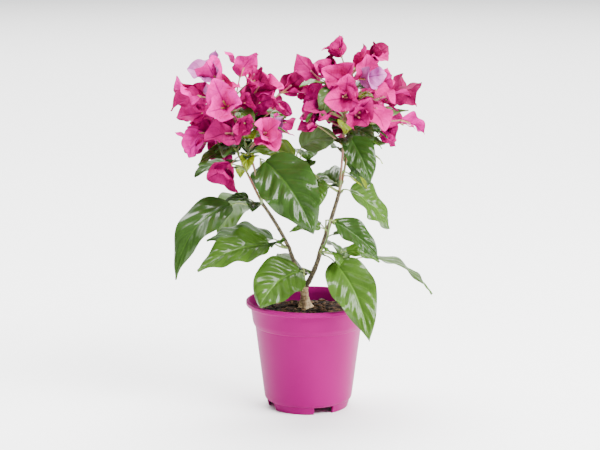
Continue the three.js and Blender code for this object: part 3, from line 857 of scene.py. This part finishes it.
def dress_bloom(mass, bloom, parts):
    """A bloom's twig, its bracts, each with a drawn tilt, fold, size and lean, and a flower before each."""
    roll = mass["fine_roll"]
    usual = drawn(BRACT_COLOURS, roll)
    twig = bloom["twig"]
    parts["twig_pink"].append(tube(twig, tapered(TWIG_THICK), TWIG_GRID, -TWIG_SINK / twig.length))
    for blade in bloom["blades"]:
        colour = drawn(BRACT_COLOURS, roll) if roll() < ODD_BRACTS else usual
        tilt = between(BRACT_TILT, roll)
        fold = BRACT_FOLD - between(BRACT_EXTRA_FOLD, roll)
        size = between(BRACT_SIZE, roll)
        lean = between(BRACT_LEAN, roll)
        bend = between(BRACT_BEND, roll)
        bract = Arc(blade.start, blade.ahead, blade.up, lean, blade.length * size, bend)
        parts[colour].append(blade_sheet(bract, bloom["width"] * size, tilt, fold, BRACT_SHAPE, roll))
        length = FLOWER_LENGTH * between(FLOWER_GROWN, roll)
        flower = Arc(blade.start, blade.ahead, blade.up, between(FLOWER_LEAN, roll), length, FLOWER_BEND)
        parts["flower_tube"].append(tube(flower, flower_radius, FLOWER_GRID))


def flower_radius(t, angle):
    """Half the thickness: swollen at foot and mouth by a power of the way from the middle, closed at the end
    by a root, and ribbed by a cosine."""
    thick = part_way(FLOWER_THICK, np.power(np.abs(2 * t - 1), FLOWER_WAIST))
    end = np.sqrt(np.clip(1 - np.power(t, FLOWER_MOUTH), 0, 1))
    return thick / 2 * end * (1 + FLOWER_RIB_HEIGHT * np.cos(FLOWER_RIBS * angle))


def dress_masses():
    """Every mass as sheets and tubes, sorted by material."""
    parts = {name: [] for name in FOLIAGE}
    for mass in masses:
        stem = mass["arc"]
        kind = "twig_pink" if mass["blooms"] else "twig_green"
        parts[kind].append(tube(stem, tapered(STEM_THICK), STEM_GRID, -STEM_SINK / stem.length))
        for leaf in mass["leaves"]:
            dress_leaf(mass, leaf, parts)
        for bloom in mass["blooms"]:
            dress_bloom(mass, bloom, parts)
    return parts


# Bark: how far its relief stands out, as a share of the limb's radius, and how far apart old leaf scars are.
# The ridges are sines that turn from the first to the second of RIDGE_TURNS times round a limb, and slant by
# up to RIDGE_PACE radians a millimetre.
BARK_RIDGE = 0.07
RIDGES = 8
RIDGE_TURNS = (2, 8)
RIDGE_PACE = 0.25
SCAR_SWELL = 0.15
SCAR_STEP = 15
SCAR_LENGTH = 1.3
SCAR_EVEN = 0.6
SCAR_SPIRAL = 2.4
KNOB_LENGTH = 2.2
FLARE_FADE = 3
ROOTS = 5
ROOT_HEIGHT = 0.25
BOUGH_SINK = 2
RING_STEP = 0.7
BARK_SIDES = 32
LIMB_SEED = 5

# A limb's end is rounded over this share of its knob's radius. Its last ring stands just short of that, and
# isn't quite drawn in.
END_ROUND = 0.98
END_LAST = 0.97
END_CLOSED = 0.999


def ridges(angle, along, roll):
    """A sum of sines round and along a limb, each drawn: long along it and narrow round it."""
    total = 0
    few, many = RIDGE_TURNS
    for _ in range(RIDGES):
        turns = few + int((many + 1 - few) * roll())
        pace = RIDGE_PACE * (2 * roll() - 1)
        total = total + np.sin(turns * angle + pace * along + 2 * np.pi * roll())
    return total / (RIDGES / 2)


def limb_sheet(name, limb, roll):
    """A limb as a tube: its taper, a flare at the trunk's foot, scars, a knob, ridges and a rounded end."""
    arc = limb_arcs[name]
    length = arc.length
    knob = limb["thick"][1] / 2 * KNOB
    start = 0 if name == "trunk" else -BOUGH_SINK
    offset = SCAR_STEP * roll()

    def radius_at(t, angle):
        along = t * length
        radius = part_way(limb["thick"], np.clip(t, 0, 1)) / 2
        if name == "trunk":
            flare = (ROOT_FLARE - 1) * np.clip(1 - t, 0, 1) ** FLARE_FADE
            radius = radius * (1 + flare * (1 + ROOT_HEIGHT * np.cos(ROOTS * angle)))
        radius = radius + (knob - radius) * np.exp(-np.square((along - length) / KNOB_LENGTH))
        scar = np.exp(-np.square(((along + offset) % SCAR_STEP - SCAR_STEP / 2) / SCAR_LENGTH))
        around = SCAR_EVEN + (1 - SCAR_EVEN) * np.cos(angle + SCAR_SPIRAL * along / SCAR_STEP)
        radius = radius * (1 + SCAR_SWELL * scar * around)
        radius = radius * (1 + BARK_RIDGE * ridges(angle, along, dice(SEED + len(name))))
        past = np.clip((along - length) / (knob * END_ROUND), 0, 1)
        return radius * np.sqrt(1 - np.square(past) * END_CLOSED)

    rings = int((length + knob - start) / RING_STEP)
    return tube(arc, radius_at, (BARK_SIDES, rings), start / length, 1 + knob * END_LAST / length)


def rounded(profile, fillet):
    """A profile with each corner cut back by `fillet`, or a part of its shorter side, and rounded by a
    parabola: (1 - w) squared of the first cut, 2w(1 - w) of the corner and w squared of the last cut."""
    profile = np.array(profile, float)
    points = [profile[0]]
    for before, corner, after in zip(profile, profile[1:], profile[2:]):
        to_before = before - corner
        to_after = after - corner
        sides = np.linalg.norm([to_before, to_after], axis=1)
        cut = min(fillet, *(sides / FILLET_PART))
        first = corner + to_before / sides[0] * cut
        last = corner + to_after / sides[1] * cut
        for w in np.linspace(0, 1, FILLET_POINTS):
            points.append((1 - w) ** 2 * first + 2 * w * (1 - w) * corner + w**2 * last)
    points.append(profile[-1])
    return np.array(points)


def carried(radius, height, bearing):
    """Points at a radius and a height round the pot's axis: radius times the bearing's cosine and sine."""
    x = radius * np.cos(bearing)
    y = radius * np.sin(bearing)
    u, v, height = np.broadcast_arrays(bearing / (2 * np.pi), height / RIM_TOP, height)
    return sheet(np.stack([x, y, height], axis=-1), u, v)


def revolved(profile):
    """A profile of radius and height carried once round the pot's axis."""
    bearing = np.radians(np.linspace(0, 360, POT_SEGMENTS + 1))[None, :]
    return carried(profile[:, :1], profile[:, 1:], bearing)


def lobe_sheet(profile, first, last):
    """A closed profile carried from one bearing to another. Its first and last rows are drawn in to the
    profile's middle, which closes both ends."""
    bearing = np.linspace(first, last, POT_SEGMENTS // LOBES + 1)
    bearing = np.radians(np.concatenate([bearing[:1], bearing, bearing[-1:]]))[None, :]
    radius = np.repeat(profile[:, :1], bearing.size, axis=1)
    height = np.repeat(profile[:, 1:], bearing.size, axis=1)
    middle = profile[:-1].mean(axis=0)
    radius[:, [0, -1]] = middle[0]
    height[:, [0, -1]] = middle[1]
    return carried(radius, height, bearing)


def pot_profile():
    """Out under the floor, up the outside, over the lip and down the inside, as radius and height."""
    lip_foot = RIM_TOP - LIP_HEIGHT
    return [
        (0, FLOOR_UNDERSIDE),
        (FOOT_RADIUS, FLOOR_UNDERSIDE),
        (BODY_FOOT_RADIUS - EDGE_SETBACK, BODY_FOOT - HEEL_HEIGHT),
        (BODY_FOOT_RADIUS, BODY_FOOT),
        (BODY_TOP_RADIUS, LEDGE - EDGE_SETBACK),
        (BODY_TOP_RADIUS + LEDGE_WIDTH, LEDGE),
        (COLLAR_FOOT_RADIUS, COLLAR_FOOT),
        (COLLAR_TOP_RADIUS, lip_foot),
        (RIM_RADIUS - EDGE_SETBACK, lip_foot),
        (RIM_RADIUS, lip_foot + LIP_EDGE),
        (RIM_RADIUS, RIM_TOP - LIP_EDGE),
        (RIM_RADIUS - RIM_BEVEL, RIM_TOP),
        (RIM_RADIUS - RIM_WIDTH, RIM_TOP),
        (COLLAR_TOP_RADIUS - WALL, lip_foot - LIP_INNER_DROP),
        (COLLAR_FOOT_RADIUS - WALL, COLLAR_FOOT),
        (BODY_TOP_RADIUS - WALL, LEDGE - LEDGE_INNER_DROP),
        (BODY_FOOT_RADIUS - WALL, BODY_FOOT),
        (0, FLOOR_UNDERSIDE + FLOOR_THICKNESS),
    ]


def lobe_profile():
    """A lobe from its inner root, down and out over the ground, up to its outer root and back."""
    inner_root = (FOOT_RADIUS - WALL - LOBE_ROOT_INSET, FLOOR_UNDERSIDE + LOBE_INNER_SINK)
    return [
        inner_root,
        (FOOT_RADIUS - WALL - LOBE_LEAN, 0),
        (FOOT_RADIUS - LOBE_LEAN, 0),
        (FOOT_RADIUS + LOBE_ROOT_OUTSET, FLOOR_UNDERSIDE + LOBE_OUTER_SINK),
        inner_root,
    ]


def pot_sheets():
    """The pot's shell and the lobes of its foot."""
    sheets = [revolved(rounded(pot_profile(), POT_FILLET))]
    lobe = rounded(lobe_profile(), LOBE_FILLET)
    step = 360 / LOBES
    for i in range(LOBES):
        first = FIRST_GAP_BEARING + LOBE_GAP_ANGLE / 2 + i * step
        sheets.append(lobe_sheet(lobe, first, first + step - LOBE_GAP_ANGLE))
    return sheets


def soil_height(x, y):
    """The potting mix: a low rise towards the trunk, plus lumps from waves drawn in plan."""
    share = np.clip((SOIL_RADIUS - np.hypot(x, y)) / (SOIL_RADIUS - SOIL_LEVEL_RADIUS), 0, 1)
    height = part_way((SOIL_EDGE, SOIL_MIDDLE), share)
    lumps = waves(x, y, SOIL_WAVES, lambda at: part_way(SOIL_PACE, at), dice(SEED + SOIL_SEED))
    return height - SOIL_SUNK + SOIL_LUMP * lumps / math.sqrt(SOIL_WAVES)


def soil_sheet():
    """The mix from the axis out along its underside, up at the pot's wall and back in to the axis over its
    surface, which closes it."""
    surface = np.linspace(SOIL_RADIUS, 0, SOIL_RINGS)
    radius = np.concatenate([[0, SOIL_RADIUS - SOIL_UNDERSIDE_INSET], surface])[:, None]
    bearing = np.linspace(0, 2 * np.pi, SOIL_SEGMENTS + 1)[None, :]
    height = soil_height(radius * np.cos(bearing), radius * np.sin(bearing))
    height[:2] = SOIL_EDGE - SOIL_DEPTH
    return carried(radius, height, bearing)


def tipped_and_turned(points, tip, turn):
    """Points tipped about X and then turned about Z, by angles in radians."""
    c = math.cos(tip)
    s = math.sin(tip)
    lean = np.array([[1, 0, 0], [0, c, -s], [0, s, c]])
    c = math.cos(turn)
    s = math.sin(turn)
    spin = np.array([[c, -s, 0], [s, c, 0], [0, 0, 1]])
    return points @ (spin @ lean).T


def chip_sheets():
    """Flat shards of bark lying on the mix: each a closed lens with uneven sides, tipped and turned."""
    draw = np.random.default_rng(SEED)
    sheets = {name: [] for name in dict.fromkeys(CHIP_KINDS)}
    around = np.linspace(0, 2 * np.pi, CHIP_SIDES + 1)[None, :]
    level = CHIP_PROFILE[:, :1]
    reach = CHIP_PROFILE[:, 1:]
    for i in range(CHIPS):
        long = draw.uniform(*CHIP_LENGTH)
        wide = draw.uniform(*CHIP_WIDTH)
        high = draw.uniform(*CHIP_HEIGHT)
        if i % LARGE_CHIP_EVERY == 0:
            long = long * LARGE_CHIP_LENGTH
            wide = wide * LARGE_CHIP_WIDTH
        distance = (SOIL_RADIUS - CHIP_MARGIN - long) * math.sqrt(draw.random())
        bearing = 2 * np.pi * draw.random()
        x = distance * math.cos(bearing)
        y = distance * math.sin(bearing)
        uneven = 1 + CHIP_UNEVEN * (draw.random((1, CHIP_SIDES + 1)) - 0.5)
        uneven[0, -1] = uneven[0, 0]
        out = reach * uneven
        grids = [long * out * np.cos(around), wide * out * np.sin(around), high * level + 0 * out]
        points = np.stack(grids, axis=-1)
        turn = 2 * np.pi * draw.random()
        tip = draw.uniform(-CHIP_TIP, CHIP_TIP)
        place = np.array([x, y, soil_height(x, y) + high * CHIP_LIFT])
        points = tipped_and_turned(points, tip, turn) + place
        kind = CHIP_KINDS[i % len(CHIP_KINDS)]
        sheets[kind].append(sheet(points, *np.broadcast_arrays(around, level)))
    return sheets


def add_piece(name, sheets, material, replaced=()):
    """One joined mesh in metres, riding the root body. A quad with two corners at a pole is made a triangle,
    and one with no surface left is dropped."""
    starts = np.cumsum([0] + [len(points) for points, _, _ in sheets])
    points = np.vstack([points for points, _, _ in sheets]) * MM
    quads = np.vstack([quads + start for (_, quads, _), start in zip(sheets, starts)])
    places = np.vstack([places for _, _, places in sheets])
    kept = quads != np.roll(quads, -1, axis=1)
    sides = kept.sum(axis=1)
    kept[sides < 3] = False
    sides = sides[sides > 2]
    corners = quads[kept]
    mesh = bpy.data.meshes.new(name)
    mesh.vertices.add(len(points))
    mesh.vertices.foreach_set("co", points.astype(np.float32).ravel())
    mesh.loops.add(len(corners))
    mesh.loops.foreach_set("vertex_index", corners.astype(np.int32))
    mesh.polygons.add(len(sides))
    mesh.polygons.foreach_set("loop_start", (np.cumsum(sides) - sides).astype(np.int32))
    mesh.uv_layers.new(name=PLACE_MAP)
    mesh.uv_layers[PLACE_MAP].data.foreach_set("uv", places[kept].astype(np.float32).ravel())
    mesh.update(calc_edges=True)
    mesh.validate()
    mesh.shade_smooth()
    mesh.materials.append(material)
    piece = bpy.data.objects.new(name, mesh)
    bpy.context.scene.collection.objects.link(piece)
    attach(piece, "root")
    if replaced:
        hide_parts(*replaced)


# Sizes of the finishes' patterns, in millimetres. The mould's texture, the grain of bark and leaf and the
# crinkle of a bract are finer in life, and are drawn as coarse as they need to show.
POT_CLOUD = 70
MOULD_TEXTURE = 1.2
COMPOST_CRUMB = 2.5
COMPOST_GRIT = 0.8
BARK_PATCH = 2.2
BARK_GRAIN = 0.9
LEAF_PATCH = 14
LEAF_GRAIN = 3.5
BRACT_PATCH = 16
BRACT_CRINKLE = 2.5
SHOOT_FLUSH = 9

# How much of a vein's colour a midrib shows, what part of that a side vein shows, how much a leaf's underside
# shows, and how wide a vein is, as a share of the way from one to the next. LEAF_VEIL is how much of the
# vein's colour a whole leaf shows, between its veins too.
LEAF_VEIL = 0.4
LEAF_VEIN = 0.85
LEAF_VEIN_WIDTH = 0.06
BRACT_VEIN = 0.9
BRACT_VEIN_WIDTH = 0.09
SIDE_VEIN = 0.4
UNDERSIDE = 0.2

# The sockets of a Mix node that are for colours.
MIX_SHARE = 0
MIX_FIRST = 6
MIX_SECOND = 7
MIX_RESULT = 2


def feed(node, inputs):
    """Gives a node's inputs, by name or number, their values or the sockets to link."""
    for key, value in inputs.items():
        if isinstance(value, bpy.types.NodeSocket):
            node.id_data.links.new(value, node.inputs[key])
        else:
            node.inputs[key].default_value = value


def add_node(material, kind, settings, inputs, output=0):
    """Adds a shader node of a kind to a material, with its settings by name, and gives one of its outputs."""
    node = material.node_tree.nodes.new("ShaderNode" + kind)
    for key, value in settings.items():
        setattr(node, key, value)
    feed(node, inputs)
    return node.outputs[output]


def new_material(name):
    material = bpy.data.materials.new(name)
    material.use_nodes = True
    return material


def finish(material, inputs):
    """Gives the material's surface its values and patterns."""
    feed(material.node_tree.nodes["Principled BSDF"], inputs)
    return material


def patches(material, size, dark, light, fade=(0.35, 0.65), detail=3.0, easing="SMOOTHSTEP"):
    """Two tones in patches about `size` millimetres wide. They fade between the limits of `fade`."""
    place = add_node(material, "TexCoord", {}, {}, "Object")
    inputs = {"Vector": place, "Scale": 1 / (size * MM), "Detail": detail}
    cloud = add_node(material, "TexNoise", {}, inputs)
    inputs = {"Value": cloud, "From Min": fade[0], "From Max": fade[1]}
    share = add_node(material, "MapRange", {"interpolation_type": easing}, inputs)
    inputs = {MIX_SHARE: share, MIX_FIRST: linear(dark), MIX_SECOND: linear(light)}
    return add_node(material, "Mix", {"data_type": "RGBA"}, inputs, MIX_RESULT)


def relief(material, size, depth, detail=3.0):
    """A drawn relief, `size` millimetres from bump to bump and `depth` millimetres deep."""
    place = add_node(material, "TexCoord", {}, {}, "Object")
    inputs = {"Vector": place, "Scale": 1 / (size * MM), "Detail": detail}
    height = add_node(material, "TexNoise", {}, inputs)
    inputs = {"Height": height, "Distance": depth * MM, "Strength": 1.0}
    return add_node(material, "Bump", {}, inputs)


def veined(material, shape, width, strength, ground, vein):
    """The ground colour turned to the vein's along the midrib, where the way across is near 0, and along the
    side veins, where `veins` times (v less `vein_slant` times the way across to the power VEIN_ARCH) is near
    a whole number."""
    place = add_node(material, "UVMap", {"uv_map": PLACE_MAP}, {})
    u = add_node(material, "SeparateXYZ", {}, {0: place})
    v = u.node.outputs[1]
    across = add_node(material, "Math", {"operation": "MULTIPLY_ADD"}, {0: u, 1: 2.0, 2: -1.0})
    across = add_node(material, "Math", {"operation": "ABSOLUTE"}, {0: across})
    arch = add_node(material, "Math", {"operation": "POWER"}, {0: across, 1: VEIN_ARCH})
    inputs = {0: arch, 1: -shape["vein_slant"], 2: v}
    course = add_node(material, "Math", {"operation": "MULTIPLY_ADD"}, inputs)
    course = add_node(material, "Math", {"operation": "MULTIPLY"}, {0: course, 1: shape["veins"]})
    apart = add_node(material, "Math", {"operation": "PINGPONG"}, {0: course, 1: 0.5})
    shares = []
    for way, most in ((across, strength), (apart, strength * SIDE_VEIN)):
        inputs = {"Value": way, "From Min": 0.0, "From Max": width, "To Min": most, "To Max": 0.0}
        shares.append(add_node(material, "MapRange", {"interpolation_type": "SMOOTHSTEP"}, inputs))
    share = add_node(material, "Math", {"operation": "MAXIMUM"}, dict(enumerate(shares)))
    inputs = {MIX_SHARE: share, MIX_FIRST: ground, MIX_SECOND: linear(vein)}
    return add_node(material, "Mix", {"data_type": "RGBA"}, inputs, MIX_RESULT)


def plastic_material(name, dark, light):
    """Injection-moulded polypropylene: one even colour with a satin skin, so its highlight is wide, soft and
    tinted by the plastic."""
    material = new_material(name)
    return finish(material, {
        "Base Color": patches(material, POT_CLOUD, dark, light, (0.0, 1.0), easing="LINEAR"),
        "Roughness": 0.5,
        "Specular IOR Level": 0.2,
        "Specular Tint": linear("F04CB8"),
        "Normal": relief(material, MOULD_TEXTURE, 0.01),
    })


def earth_material(name, dark, light, roughness):
    """Damp compost, or a shard of bark in it: dark, crumbly and almost without shine."""
    material = new_material(name)
    return finish(material, {
        "Base Color": patches(material, COMPOST_CRUMB, dark, light),
        "Roughness": roughness,
        "Specular IOR Level": 0.15,
        "Normal": relief(material, COMPOST_GRIT, 0.4, 5.0),
    })


def bark_material(name, dark, light):
    """Thin smooth bark of a young bougainvillea: matt, in small patches of two tones with a fine grain."""
    material = new_material(name)
    return finish(material, {
        "Base Color": patches(material, BARK_PATCH, dark, light, (0.38, 0.62), 5.0),
        "Roughness": 0.7,
        "Normal": relief(material, BARK_GRAIN, 0.25, 4.0),
    })


def leaf_material(name, deep, light, vein, roughness):
    """A living leaf: a soft green body under a clear wax, which gives the small sharp highlights. It is paler
    along its veins and underneath."""
    material = new_material(name)
    green = patches(material, LEAF_PATCH, deep, light, (0.3, 0.7))
    inputs = {MIX_SHARE: LEAF_VEIL, MIX_FIRST: green, MIX_SECOND: linear(vein)}
    green = add_node(material, "Mix", {"data_type": "RGBA"}, inputs, MIX_RESULT)
    upper = veined(material, LEAF_SHAPE, LEAF_VEIN_WIDTH, LEAF_VEIN, green, vein)
    under = add_node(material, "NewGeometry", {}, {}, "Backfacing")
    under = add_node(material, "Math", {"operation": "MULTIPLY"}, {0: under, 1: UNDERSIDE})
    inputs = {MIX_SHARE: under, MIX_FIRST: upper, MIX_SECOND: linear(vein)}
    return finish(material, {
        "Base Color": add_node(material, "Mix", {"data_type": "RGBA"}, inputs, MIX_RESULT),
        "Roughness": roughness,
        "Specular IOR Level": 0.08,
        "Coat Weight": 0.32,
        "Coat Roughness": 0.12,
        "Normal": relief(material, LEAF_GRAIN, 0.2, 4.0),
    })


def bract_material(name, deep, light, vein):
    """A papery bract: thin, dry and matt, so that its colour stays deep, with a net of darker veins and a
    crinkle that breaks up the light."""
    material = new_material(name)
    pink = patches(material, BRACT_PATCH, deep, light, (0.3, 0.7))
    return finish(material, {
        "Base Color": veined(material, BRACT_SHAPE, BRACT_VEIN_WIDTH, BRACT_VEIN, pink, vein),
        "Roughness": 0.6,
        "Specular IOR Level": 0.05,
        "Normal": relief(material, BRACT_CRINKLE, 0.6, 5.0),
    })


def shoot_material(name, dark, light):
    """A green shoot, flushed where the sun reaches it: smooth, with a dull shine."""
    material = new_material(name)
    return finish(material, {
        "Base Color": patches(material, SHOOT_FLUSH, dark, light),
        "Roughness": 0.5,
    })


def floor_material():
    """A pale matt floor, which is there for the picture alone."""
    return finish(new_material("pale_floor"), {"Base Color": linear("F4F4F4"), "Roughness": 0.8})


def make_materials():
    return {
        "pot": plastic_material("satin_polypropylene", "7C0253", "86025E"),
        "soil": earth_material("damp_compost", "0E0A08", "1F1712", 0.9),
        "chip_dark": earth_material("dark_bark_shards", "17100C", "2A1D15", 0.8),
        "chip_brown": earth_material("brown_bark_shards", "2B1C15", "483020", 0.8),
        "chip_tan": earth_material("pale_bark_shards", "402D21", "6C523A", 0.8),
        "trunk": bark_material("pale_trunk_bark", "8F7251", "C2A983"),
        "boughs": bark_material("brown_bough_bark", "382E1E", "5E5236"),
        "leaf_dark": leaf_material("dark_leaf", "0A1806", "11220A", "3E6020", 0.32),
        "leaf_mid": leaf_material("green_leaf", "132604", "1A3006", "567C2A", 0.34),
        "leaf_fresh": leaf_material("fresh_leaf", "213A06", "2D4708", "7A9C38", 0.36),
        "leaf_grey": leaf_material("grey_green_leaf", "1C2E10", "263A14", "6A8648", 0.44),
        "leaf_young": leaf_material("young_leaf", "4E6C07", "6E8410", "9EAE34", 0.4),
        "bract_hot": bract_material("hot_pink_bract", "AA0066", "C80080", "740042"),
        "bract_magenta": bract_material("magenta_bract", "8A004E", "A80068", "580032"),
        "bract_deep": bract_material("deep_magenta_bract", "6C023A", "86044A", "440222"),
        "bract_pale": bract_material("pale_pink_bract", "C20080", "DA0298", "8A005C"),
        "bract_lilac": bract_material("lilac_bract", "9C4690", "BC6EAE", "70306C"),
        "twig_green": shoot_material("green_shoot", "5E7A38", "8A9A50"),
        "twig_pink": shoot_material("flushed_shoot", "6B7A3C", "9A5A55"),
        "flower_tube": shoot_material("flower_tube", "A9486E", "B9A35C"),
    }


# The camera stands where the photograph was taken from: lens and distances in metres, tilt in degrees.
CAMERA_PLACE = (-0.0086, -1.8, 0.527)
CAMERA_TILT = 79.45
CAMERA_LENS = 106.14
LIGHTS = {
    "key": {"place": (1.0, -1.2, 1.9), "size": 1.0, "power": 110},
    "top": {"place": (-0.7, 0.4, 1.9), "size": 1.9, "power": 45},
    "right": {"place": (1.7, -0.6, 1.0), "size": 0.8, "power": 65},
    "back": {"place": (0.0, 3.0, 6.0), "size": 6.0, "power": 1800},
}
LIGHTS_AIM = (0, 0, 0.2)
WORLD_STRENGTH = 0.5
FLOOR_REACH = 16


def add_camera():
    data = bpy.data.cameras.new("camera")
    data.lens = CAMERA_LENS
    camera = bpy.data.objects.new("camera", data)
    camera.location = CAMERA_PLACE
    camera.rotation_euler = (math.radians(CAMERA_TILT), 0, 0)
    bpy.context.scene.collection.objects.link(camera)
    bpy.context.scene.camera = camera


def add_light(name, place, size, power):
    """A square area light that faces the middle of the plant."""
    data = bpy.data.lights.new(name, "AREA")
    data.size = size
    data.energy = power
    light = bpy.data.objects.new(name, data)
    light.location = place
    aim = np.array(LIGHTS_AIM) - np.array(place)
    tilt = math.pi - math.acos(aim[2] / np.linalg.norm(aim))
    heading = math.atan2(aim[1], aim[0]) - math.pi / 2
    light.rotation_euler = (tilt, 0, heading)
    bpy.context.scene.collection.objects.link(light)


def add_stage():
    """The floor, the white surroundings and the lights."""
    mesh = bpy.data.meshes.new("floor")
    corners = [(FLOOR_REACH * x, FLOOR_REACH * y, 0) for x, y in ((-1, -1), (1, -1), (1, 1), (-1, 1))]
    mesh.from_pydata(corners, [], [(0, 1, 2, 3)])
    mesh.materials.append(floor_material())
    floor = bpy.data.objects.new("floor", mesh)
    bpy.context.scene.collection.objects.link(floor)
    world = bpy.data.worlds.new("studio")
    world.use_nodes = True
    background = world.node_tree.nodes["Background"]
    background.inputs[0].default_value = linear("FFFFFF")
    background.inputs[1].default_value = WORLD_STRENGTH
    bpy.context.scene.world = world
    for name, light in LIGHTS.items():
        add_light(name, **light)


def add_plant():
    """Every piece, with its material and the part's nodes that it stands for."""
    materials = make_materials()
    add_piece("pot_shell", pot_sheets(), materials["pot"], ["pot"])
    add_piece("compost", [soil_sheet()], materials["soil"], ["soil"])
    for name, sheets in chip_sheets().items():
        add_piece(name, sheets, materials[name])
    roll = dice(SEED + LIMB_SEED)
    limbs = {name: limb_sheet(name, limb, roll) for name, limb in LIMBS.items()}
    add_piece("trunk_bark", [limbs.pop("trunk")], materials["trunk"], ["trunk"])
    add_piece("bough_bark", list(limbs.values()), materials["boughs"], list(limbs))
    parts = dress_masses()
    leafy = [mass["name"] for mass in masses if not mass["blooms"]]
    flowery = [mass["name"] for mass in masses if mass["blooms"]]
    stood_for = {"leaf_dark": leafy, "bract_hot": flowery}
    for name, sheets in parts.items():
        add_piece(name, sheets, materials[name], stood_for.get(name, ()))


lay_limbs()
masses = grow_part()
crown.between = FINE_BLADE_CLEARANCE
for mass in masses:
    grow_finer(mass)
add_plant()
add_camera()
add_stage()
